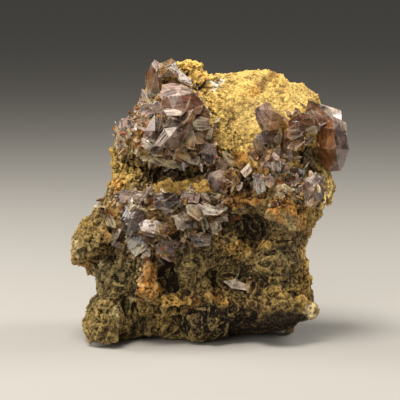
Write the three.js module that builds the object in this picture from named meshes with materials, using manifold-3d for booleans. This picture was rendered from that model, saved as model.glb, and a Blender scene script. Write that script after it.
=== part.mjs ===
/**
 * Axinite on rock: flat-faced violet-brown crystals standing on a lump of ochre rock.
 *
 * Millimetres. Seen from the front, X runs to the right, Z runs up and Y runs away into the rock.
 * Outlines and crystals are laid out in the front view: a pair [X, Z] is where a thing is seen
 * on the plane Y = 0 by an eye standing in front of the specimen.
 */
import * as THREE from 'three';
import { ConvexGeometry } from 'three/addons/geometries/ConvexGeometry.js';
import { mergeVertices } from 'three/addons/utils/BufferGeometryUtils.js';
import Module from 'manifold-3d';

const wasm = await Module();
wasm.setup();

// ---------------------------------------------------------------- driving dimensions
const EYE_DISTANCE = 500;     // front view: eye in front of the plane Y = 0
const EYE_HEIGHT = 100;       // front view: eye above the resting plane
const ROCK_HEIGHT = 75;       // height over which the rock leans back
const RIM_DEPTH_LOW = -7;     // depth of the widest section at the foot
const RIM_DEPTH_HIGH = 5;     // and at the top
const FRONT_ROUNDING = 6;     // how far in from the outline the front has reached full depth
const BACK_ROUNDING = 15;     // the same for the back
const BACK_DEPTH = 25;        // thickness behind the widest section
const LUMP_SIZE = 9;          // spacing of the coarse lumps
const LUMP_HEIGHT = 2;
const KNOLL_SIZE = 5;         // spacing of the fine lumps
const KNOLL_HEIGHT = 1.5;
const FACET = 2.62;           // size of the rock's facets
const CLEARANCE = 0.35;       // gap between a crystal and the rock it stands on
const CRYSTAL_ROOT = 2.2;     // how far a crystal is set back towards the rock
const CRYSTAL_STAND = 1.3;    // extra height of every crystal in front of the rock
const CHUNK_STAND = 0.3;      // the same for the rock's own angular chunks
const SMALLEST_CRYSTAL = 2.5; // mm3, smaller loose chips are left out

// ---------------------------------------------------------------- the rock's outline
const OUTLINE = [
  [-16, 64.5], [-15.5, 68], [-13.5, 70.5], [-9, 71.5], [-5.5, 72.5], [-1.8, 71.8], [-1, 70],
  [3.5, 69], [7, 70], [16, 71], [19, 70], [21, 68.5], [24, 67.5], [29, 63.5], [30, 59],
  [30, 50], [30.5, 44.5], [32, 41], [31.5, 37.5], [28.5, 32.5], [25.5, 27.5], [24, 25.5],
  [24.5, 23], [25.5, 20], [27, 15], [27, 12.5], [26, 11], [28, 6.8],
  [27, 5.3], [22.3, 2.7], [21, 1.5], [14, 1.5], [6, 1.5], [3.5, 0],
  [1, -1.5], [-11.5, -1.3], [-14.5, 0], [-18.5, -0.3], [-23.5, -2], [-26, -3], [-29, -3],
  [-31, -1.5], [-33, -1.3], [-33.8, 1], [-33, 3.7], [-31.5, 7], [-29.5, 9], [-28.6, 13],
  [-29.2, 16], [-29, 20], [-34.5, 19.6], [-37, 21.7],
  [-36.8, 25], [-34.5, 28.5], [-33, 30.5], [-29.5, 32], [-28.5, 35], [-26.3, 36.5],
  [-25.5, 42], [-25.7, 46.5], [-25, 52.5], [-22, 56.5], [-18.5, 60], [-17, 63],
];

// Depth of the front, from the foot up: [Z, Y].
const FRONT_PROFILE = [[-3, -12], [5, -13], [14, -11.5], [24, -13], [36, -14], [44, -10.5],
  [54, -9], [62, -5], [68, 0], [73, 4]];

// Rises (+) and hollows (-) of the front: [X, Z, half width, half height, forward, turn in degrees].
const LANDFORMS = [
  [-11, 57, 13, 13, 4, 20],         // mound under the upper-left crystals
  [-12, 69, 7, 5, 2.5, 0],          // crown
  [-11, 44, 13, 4.6, -8, -4],       // dark recess below them
  [-22, 46.5, 4, 5, -4, 0],         // pocket at the left rim
  [-7, 39.4, 10, 3.6, 3, -2],       // mustard shelf
  [-11, 31, 17, 9, 3.5, 4],         // middle band
  [-8, 27.6, 5, 3, -3, 0],          // hollow inside it
  [1, 45, 4, 4.4, -4.5, 0],         // small recesses beside the shelf
  [9.5, 40.4, 4.4, 3.6, -5, 35],
  [6, 43, 4.4, 5, 2.5, 20],         // dark red-brown lump
  [15, 46.5, 9, 5.5, 3.5, 0],       // sparkling ledge below the plateau
  [25.5, 55, 10, 8, 4.5, -15],      // mound under the right crystals
  [26, 48, 4, 4.4, -6, 10],         // striped hollow
  [20, 40, 8, 5, 2.5, -10],
  [28, 39.5, 4.5, 5.5, 3, 0],
  [21, 32, 9, 5, 4.5, -32],         // orange-brown wedge over the cavity
  [12.5, 28, 5.4, 6.6, -12, 0],     // cavity
  [7, 32, 5.5, 5, -3, 20],
  [7, 25, 7, 3.6, 2.5, 5],
  [7, 20.4, 5.4, 3.4, -4, 5],
  [17.5, 20, 6.5, 6, 2.5, 0],
  [8, 15.4, 7, 3.6, -3, -8],
  [-31.5, 26.5, 8, 6.5, 5.5, 30],   // left knob
  [-28, 20.6, 7, 3.4, -6, 14],      // groove below it
  [-26.5, 14, 5.5, 7, 2, 0],
  [-28.5, 4, 7.5, 8, 3.5, 12],      // left foot
  [-20.5, 8, 3.4, 7, -5, 0],
  [-17.5, 3.2, 5, 4.4, -6, 10],
  [-16.4, 15, 4, 9, 3, 14],         // orange rib
  [-10.4, 17, 3.6, 10, -9, 2],      // dark cleft
  [-4, 17, 5, 8, 2.5, 0],
  [-8, 9.4, 7, 3.4, 3.5, 0],
  [-9, 4, 6, 3.6, -4, 0],
  [2.6, 16, 3.4, 6, -4, 12],
  [1.5, 9.4, 7, 3.6, 3, -28],
  [1, 2, 6, 4, 2.5, 0],
  [19, 9.5, 11, 4.6, 4.5, -4],      // spur
  [16, 2.6, 13, 4.4, -10, 5],       // undercut below it
];

const PLATEAU = { x: 12, z: 62, halfWidth: 18, halfHeight: 13 };

// Broad foot behind, on which the rock sits.
const HEEL = { x: 0, y: 9, z: 7, halfWidth: 24, halfDepth: 13, halfHeight: 13 };

// Broken faces of the back and the sides: [outward X, Y, Z, distance from the origin].
const BREAKS = [
  [0.12, 0.98, 0.16, 23.5],
  [0.62, 0.74, 0.28, 35],
  [-0.58, 0.8, 0.12, 30],
  [-0.1, 0.74, 0.67, 52],
  [0.3, 0.7, -0.65, 17],
  [-0.35, 0.72, -0.6, 16.5],
  [-0.86, 0.42, 0.28, 36],
  [0.85, 0.5, -0.15, 32],
];

// ---------------------------------------------------------------- front view
function seenAt(x, y, z) {
  const shrink = EYE_DISTANCE / (EYE_DISTANCE + y);
  return [x * shrink, EYE_HEIGHT + (z - EYE_HEIGHT) * shrink];
}

function placeAt(seenX, seenZ, y) {
  const grow = (EYE_DISTANCE + y) / EYE_DISTANCE;
  return new THREE.Vector3(seenX * grow, y, EYE_HEIGHT + (seenZ - EYE_HEIGHT) * grow);
}

// ---------------------------------------------------------------- shape of the rock
function smooth(t) {
  const s = THREE.MathUtils.clamp(t, 0, 1);
  return s * s * (3 - 2 * s);
}

/** Distance inside the outline, negative outside it. */
function depthInside(x, z) {
  let nearest = Infinity;
  let inside = false;
  for (let i = 0; i < OUTLINE.length; i += 1) {
    const [ax, az] = OUTLINE[i];
    const [bx, bz] = OUTLINE[(i + 1) % OUTLINE.length];
    const ex = bx - ax;
    const ez = bz - az;
    const along = THREE.MathUtils.clamp(((x - ax) * ex + (z - az) * ez) / (ex * ex + ez * ez), 0, 1);
    nearest = Math.min(nearest, Math.hypot(x - ax - ex * along, z - az - ez * along));
    if ((az > z) !== (bz > z) && x < ax + ((z - az) * ex) / ez) inside = !inside;
  }
  return inside ? nearest : -nearest;
}

function profileDepth(z) {
  let [lowZ, lowY] = FRONT_PROFILE[0];
  for (const [highZ, highY] of FRONT_PROFILE.slice(1)) {
    if (z < highZ) return lowY + (highY - lowY) * smooth((z - lowZ) / (highZ - lowZ));
    [lowZ, lowY] = [highZ, highY];
  }
  return lowY;
}

function frontDepth(x, z) {
  let y = profileDepth(z);
  for (const [cx, cz, halfWidth, halfHeight, forward, degrees] of LANDFORMS) {
    const turn = THREE.MathUtils.degToRad(degrees);
    const across = ((x - cx) * Math.cos(turn) + (z - cz) * Math.sin(turn)) / halfWidth;
    const up = ((z - cz) * Math.cos(turn) - (x - cx) * Math.sin(turn)) / halfHeight;
    y -= forward * smooth(1.5 * (1 - Math.hypot(across, up)));
  }
  return y;
}

/** A steady pseudo-random value from -1 to 1 for each lattice point. */
function latticeValue(i, j, k) {
  let h = (i * 374761393 + j * 668265263 + k * 1440662683) | 0;
  h = Math.imul(h ^ (h >>> 13), 1274126177);
  h ^= h >>> 16;
  return ((h >>> 0) / 4294967295) * 2 - 1;
}

function lumps(x, y, z, size) {
  const i = Math.floor(x / size);
  const j = Math.floor(y / size);
  const k = Math.floor(z / size);
  const u = smooth(x / size - i);
  const v = smooth(y / size - j);
  const w = smooth(z / size - k);
  let sum = 0;
  for (let corner = 0; corner < 8; corner += 1) {
    const di = corner & 1;
    const dj = (corner >> 1) & 1;
    const dk = corner >> 2;
    const weight = (di ? u : 1 - u) * (dj ? v : 1 - v) * (dk ? w : 1 - w);
    sum += weight * latticeValue(i + di, j + dj, k + dk);
  }
  return sum;
}

/** 1 on the smooth sloping plateau at the upper right, 0 away from it. */
function plateau(x, z) {
  const across = (x - PLATEAU.x) / PLATEAU.halfWidth;
  const upward = (z - PLATEAU.z) / PLATEAU.halfHeight;
  return smooth(2 - 2 * Math.hypot(across, upward));
}

/** Negative inside the rock, positive outside it. */
function rockField(x, y, z) {
  const [seenX, seenZ] = seenAt(x, y, z);
  const broken = LUMP_HEIGHT * lumps(x, y, z, LUMP_SIZE) + KNOLL_HEIGHT * lumps(x + 50, y, z, KNOLL_SIZE);
  const rough = broken * (1 - 0.6 * plateau(seenX, seenZ));
  const inside = depthInside(seenX, seenZ) + 0.35 * rough;
  const lean = THREE.MathUtils.clamp(seenZ / ROCK_HEIGHT, 0, 1);
  const rim = RIM_DEPTH_LOW + (RIM_DEPTH_HIGH - RIM_DEPTH_LOW) * lean;
  const isFront = y < rim;
  const rounding = isFront ? FRONT_ROUNDING : BACK_ROUNDING;
  const reach = isFront ? Math.max(rim - frontDepth(seenX, seenZ) + rough, 3) : BACK_DEPTH + rough;
  const edge = Math.max(0, (rounding - inside) / rounding);
  let field = (Math.hypot(edge, (y - rim) / reach) - 1) * rounding;
  const heelReach = Math.hypot(
    (x - HEEL.x) / HEEL.halfWidth,
    (y - HEEL.y) / HEEL.halfDepth,
    (z - HEEL.z) / HEEL.halfHeight,
  );
  field = Math.min(field, (heelReach - 1) * HEEL.halfHeight - 0.4 * rough);
  for (const [nx, ny, nz, distance] of BREAKS) {
    field = Math.max(field, x * nx + y * ny + z * nz - distance - 0.9 * rough);
  }
  return Math.max(field, -z);
}

// ---------------------------------------------------------------- faceting the rock
/** Closes the diagonal corner contacts that would pinch the faceted skin. */
function fillPinches(values, counts, index) {
  const [nx, ny, nz] = counts;
  const steps = [[1, 0, 0], [0, 1, 0], [0, 0, 1]];
  let changed = true;
  while (changed) {
    changed = false;
    for (let k = 0; k < nz - 1; k += 1) {
      for (let j = 0; j < ny - 1; j += 1) {
        for (let i = 0; i < nx - 1; i += 1) {
          for (let side = 0; side < 3; side += 1) {
            const [ax, ay, az] = steps[side];
            const [bx, by, bz] = steps[(side + 1) % 3];
            const here = index(i, j, k);
            const a = index(i + ax, j + ay, k + az);
            const b = index(i + bx, j + by, k + bz);
            const far = index(i + ax + bx, j + ay + by, k + az + bz);
            const signs = [here, far, a, b].map((n) => values[n] < 0);
            if (signs[0] === signs[1] && signs[2] === signs[3] && signs[0] !== signs[2]) {
              values[signs[0] ? a : here] = -0.3;
              changed = true;
            }
          }
        }
      }
    }
  }
}

/** Facets a field into one closed skin with a vertex in every cell the surface crosses. */
function facetField(field, low, high, cell) {
  const counts = [0, 1, 2].map((axis) => Math.ceil((high[axis] - low[axis]) / cell) + 1);
  const [nx, ny, nz] = counts;
  const index = (i, j, k) => i + nx * (j + ny * k);
  const values = new Float32Array(nx * ny * nz);
  for (let k = 0; k < nz; k += 1) {
    for (let j = 0; j < ny; j += 1) {
      for (let i = 0; i < nx; i += 1) {
        values[index(i, j, k)] = field(low[0] + i * cell, low[1] + j * cell, low[2] + k * cell);
      }
    }
  }
  fillPinches(values, counts, index);

  const vertices = [];
  const vertexOf = new Map();
  for (let k = 0; k < nz - 1; k += 1) {
    for (let j = 0; j < ny - 1; j += 1) {
      for (let i = 0; i < nx - 1; i += 1) {
        const sum = new THREE.Vector3();
        let crossings = 0;
        for (let corner = 0; corner < 8; corner += 1) {
          for (let axis = 0; axis < 3; axis += 1) {
            if ((corner >> axis) & 1) continue;
            const start = [corner & 1, (corner >> 1) & 1, corner >> 2];
            const end = start.slice();
            end[axis] = 1;
            const a = values[index(i + start[0], j + start[1], k + start[2])];
            const b = values[index(i + end[0], j + end[1], k + end[2])];
            if (a < 0 === b < 0) continue;
            start[axis] += a / (a - b);
            sum.add(new THREE.Vector3(...start));
            crossings += 1;
          }
        }
        if (crossings === 0) continue;
        sum.divideScalar(crossings);
        vertexOf.set(index(i, j, k), vertices.length / 3);
        vertices.push(low[0] + (i + sum.x) * cell, low[1] + (j + sum.y) * cell, low[2] + (k + sum.z) * cell);
      }
    }
  }

  const triangles = [];
  const point = (n) => new THREE.Vector3().fromArray(vertices, 3 * n);
  for (let k = 1; k < nz - 1; k += 1) {
    for (let j = 1; j < ny - 1; j += 1) {
      for (let i = 1; i < nx - 1; i += 1) {
        const here = values[index(i, j, k)];
        const next = [index(i + 1, j, k), index(i, j + 1, k), index(i, j, k + 1)];
        const rings = [
          [[0, -1, -1], [0, 0, -1], [0, 0, 0], [0, -1, 0]],
          [[-1, 0, -1], [-1, 0, 0], [0, 0, 0], [0, 0, -1]],
          [[-1, -1, 0], [0, -1, 0], [0, 0, 0], [-1, 0, 0]],
        ];
        for (let axis = 0; axis < 3; axis += 1) {
          if (here < 0 === values[next[axis]] < 0) continue;
          const ring = rings[axis].map(([a, b, c]) => vertexOf.get(index(i + a, j + b, k + c)));
          if (here >= 0) ring.reverse();
          const [a, b, c, d] = ring;
          if (point(a).distanceTo(point(c)) < point(b).distanceTo(point(d))) {
            triangles.push(a, b, c, a, c, d);
          } else {
            triangles.push(b, c, d, b, d, a);
          }
        }
      }
    }
  }
  const skin = new THREE.BufferGeometry();
  skin.setAttribute('position', new THREE.Float32BufferAttribute(vertices, 3));
  skin.setIndex(triangles);
  return skin;
}

// ---------------------------------------------------------------- solids
/** A copy with nothing but its corners, each shared by the faces that meet there. */
function sharedCorners(geometry) {
  const bare = new THREE.BufferGeometry();
  bare.setAttribute('position', geometry.getAttribute('position').clone());
  if (geometry.index) bare.setIndex(geometry.index.clone());
  return mergeVertices(bare, 1e-4);
}

function toSolid(geometry) {
  const merged = sharedCorners(geometry);
  return new wasm.Manifold(new wasm.Mesh({
    numProp: 3,
    vertProperties: new Float32Array(merged.getAttribute('position').array),
    triVerts: new Uint32Array(merged.index.array),
  }));
}

function toGeometry(solid) {
  const mesh = solid.getMesh();
  const indexed = new THREE.BufferGeometry();
  indexed.setAttribute('position', new THREE.BufferAttribute(mesh.vertProperties, mesh.numProp));
  indexed.setIndex(new THREE.BufferAttribute(mesh.triVerts, 1));
  const flat = indexed.toNonIndexed();
  flat.computeVertexNormals();
  return flat;
}

/** The same skin moved outwards by a set distance. */
function swollen(geometry, distance) {
  const copy = sharedCorners(geometry);
  copy.computeVertexNormals();
  const position = copy.getAttribute('position');
  const normal = copy.getAttribute('normal');
  for (let n = 0; n < position.count; n += 1) {
    position.setXYZ(
      n,
      position.getX(n) + normal.getX(n) * distance,
      position.getY(n) + normal.getY(n) * distance,
      position.getZ(n) + normal.getZ(n) * distance,
    );
  }
  return copy;
}

// ---------------------------------------------------------------- crystals
/** Depth at which the line of sight through [X, Z] meets the rock. */
function rockDepthAt([x, z]) {
  for (let y = -34; y < 24; y += 0.2) {
    const spot = placeAt(x, z, y);
    if (rockField(spot.x, spot.y, spot.z) < 0) return y;
  }
  return 0;
}

/** A convex piece: corners [X, Z, height in front of the rock at the foot point]. */
function convexPiece(foot, corners, stand) {
  const depth = rockDepthAt(foot);
  return new ConvexGeometry(corners.map(([x, z, lift]) => {
    const corner = placeAt(x, z, depth - lift - (lift > 0 ? stand : 0));
    corner.z = Math.max(corner.z, 0);
    return corner;
  }));
}

function cut(foot, corners) {
  return convexPiece(foot, corners, CRYSTAL_STAND);
}

function chunk(foot, corners) {
  return convexPiece(foot, corners, CHUNK_STAND);
}

// Corners of an axe-head blade: along its length, across its width, through its thickness.
const BLADE_CORNERS = [
  [0, -0.4, 0.5], [0, 0.36, 0.5], [0.62, 0.44, 0.42], [0.82, -0.26, 0.4],
  [0, -0.32, -0.5], [0, 0.42, -0.5], [0.52, 0.46, -0.42], [0.7, -0.42, -0.4],
  [0.35, -0.5, -0.04], [0.3, 0.52, 0.05], [1, -0.14, 0.14], [0.9, 0.28, -0.12],
];

/** An axe-head blade from a foot on the rock to a tip that rises towards the viewer. */
function blade(foot, tip, width, thickness, rise, roll) {
  const depth = rockDepthAt(foot);
  const end = placeAt(tip[0], tip[1], depth - rise - CRYSTAL_STAND);
  const start = placeAt(foot[0], foot[1], depth);
  const along = end.clone().sub(start).normalize();
  start.addScaledVector(along, -CRYSTAL_ROOT).add(new THREE.Vector3(0, 0.5 * CRYSTAL_ROOT, 0));
  const length = end.distanceTo(start);
  const across = new THREE.Vector3(0, 1, 0).cross(along).normalize();
  across.applyAxisAngle(along, THREE.MathUtils.degToRad(roll));
  const through = along.clone().cross(across);
  return new ConvexGeometry(BLADE_CORNERS.map(([u, v, w]) => start.clone()
    .addScaledVector(along, u * length)
    .addScaledVector(across, v * width)
    .addScaledVector(through, w * thickness)));
}

// Angular chunks that belong to the rock.
const ROCK_CHUNKS = [
  // small knob below the left knob
  chunk([-29.5, 18], [
    [-33.3, 18.2, -4], [-32.6, 19.8, -4], [-30, 20.4, -3], [-27.6, 18.4, -1], [-29, 16, -2],
    [-32.4, 15.9, -4], [-33, 17.6, -7], [-30, 18, -9],
  ]),
  // left knob and its lower lip
  chunk([-31, 26], [
    [-36.8, 24.4, -9], [-33.6, 29.8, -8], [-28.4, 30.2, -1], [-26, 26.4, 1], [-29.4, 24.2, 1.8],
    [-34.6, 22.6, -3], [-31, 27, -10],
  ]),
  chunk([-33, 22.6], [
    [-36.8, 21.8, -5], [-35.2, 20.2, -4.5], [-31.4, 21.6, 0.6], [-27.6, 24, 1], [-32, 24.8, 1],
    [-36.6, 23.4, -4.5], [-32, 23, -8],
  ]),
  // left foot and column
  chunk([-28, 4], [
    [-33.6, 0.6, -6], [-32.4, 5, -6], [-28.6, 9.2, -1], [-24.4, 8, 1], [-23.6, 3, 1.2],
    [-24.8, -1.6, 0.4], [-30, -2.2, -1], [-29, 3, 1.6], [-28, 4, -9],
  ]),
  chunk([-26, 14], [
    [-28.8, 13, -5], [-27.4, 18.8, -5], [-23, 18.4, 0.6], [-22.2, 11.6, 1.2], [-25.6, 9.6, 1],
    [-26, 14, -8],
  ]),
  // orange rib and the ledge right of the cleft
  chunk([-16.4, 15], [
    [-19.6, 19, 0], [-17.2, 21.4, 0], [-14.6, 18, 1], [-13, 12, 1.2], [-15, 9.4, 0.6],
    [-18, 11.4, 0.8], [-16.4, 15, -5],
  ]),
  chunk([-8, 9.4], [
    [-12.4, 10.4, 0], [-6, 11.4, 0], [-4.2, 9, 0.4], [-6.4, 7.2, 1], [-12, 7.8, 1], [-8, 9.4, -5],
  ]),
  // shelf above the middle band
  chunk([-7, 39.4], [
    [-16, 40.6, 0], [-9, 41.8, 0], [0.4, 41, 0], [1, 38.6, 0.8], [-8, 37.8, 1.6], [-15.6, 38.6, 1],
    [-7, 40, -5],
  ]),
  // wedge over the cavity
  chunk([21, 32], [
    [15.4, 33.8, 0.6], [20, 35.4, 0.4], [25.8, 32.8, -4], [25, 28.6, -5], [22.4, 27.8, 0.4],
    [18, 30.6, 2.2], [15.2, 32.4, 1.6], [21, 32, -8],
  ]),
  // right-hand rim, spur and the little foot
  chunk([24, 19], [
    [22.4, 24.6, -1], [24.3, 24.2, -7], [25.4, 19.6, -7], [26.8, 13.8, -7], [23.6, 12.4, 0.4],
    [21.8, 18, 1], [23.4, 19, -11],
  ]),
  chunk([20, 9], [
    [20.6, 11.6, 0.2], [24.6, 10.4, -2.5], [28.4, 6.9, -7], [27.6, 5.3, -7.5], [20.6, 6.4, 1],
    [14.6, 6.8, 1], [15.6, 10, 0.6], [21.6, 3, -9], [12, 2.4, -9], [26, 4, -12],
  ]),
  chunk([21.4, 3.4], [
    [20.6, 4, -6], [22.6, 4, -7], [22.5, 0.3, -8.6], [20.4, 0.5, -8.4], [22.3, 0.2, -11],
    [20.6, 0.2, -11], [21.4, 5, -13],
  ]),
  // bottom centre
  chunk([0, 4], [
    [-5.6, 5, 0], [-2, 7.4, 0.2], [4, 8, 0.2], [5.4, 4.6, -1], [2.6, -0.6, -1.4], [-4, -1, -1.4],
    [0, 3.6, 1.4], [0, 4, -8],
  ]),
  // crown lump and the plateau's right edge
  chunk([-4.5, 70], [
    [-8.2, 71.8, -1], [-5.6, 73.3, -1.6], [-4.6, 72.4, -1.6], [-1.8, 72.3, -1.6], [-1.2, 70.4, -1],
    [-3, 68.6, 1], [-7.6, 69.4, 1], [-4.5, 70, -8],
  ]),
  chunk([25, 62.5], [
    [20.8, 67.6, -5], [24.2, 67.6, -7], [28.8, 64, -8], [29.6, 60.4, -8], [24, 60.2, 0.6],
    [20, 63.6, 0.4], [25, 63, -11],
  ]),
  // dark red-brown lump and the sparkling ledge
  chunk([6, 42.6], [
    [3.6, 43.6, 0], [6, 45.4, 0], [8.6, 43.6, 0.4], [8, 40.6, 1.2], [4.6, 39.8, 1], [6, 42.6, -5],
  ]),
  chunk([15.4, 47], [
    [11, 49.6, 0], [16, 50.6, 0], [20.4, 48.8, 0.2], [19.4, 45, 1.2], [12.4, 44.8, 1.2],
    [15.4, 47, -5],
  ]),
];

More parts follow.
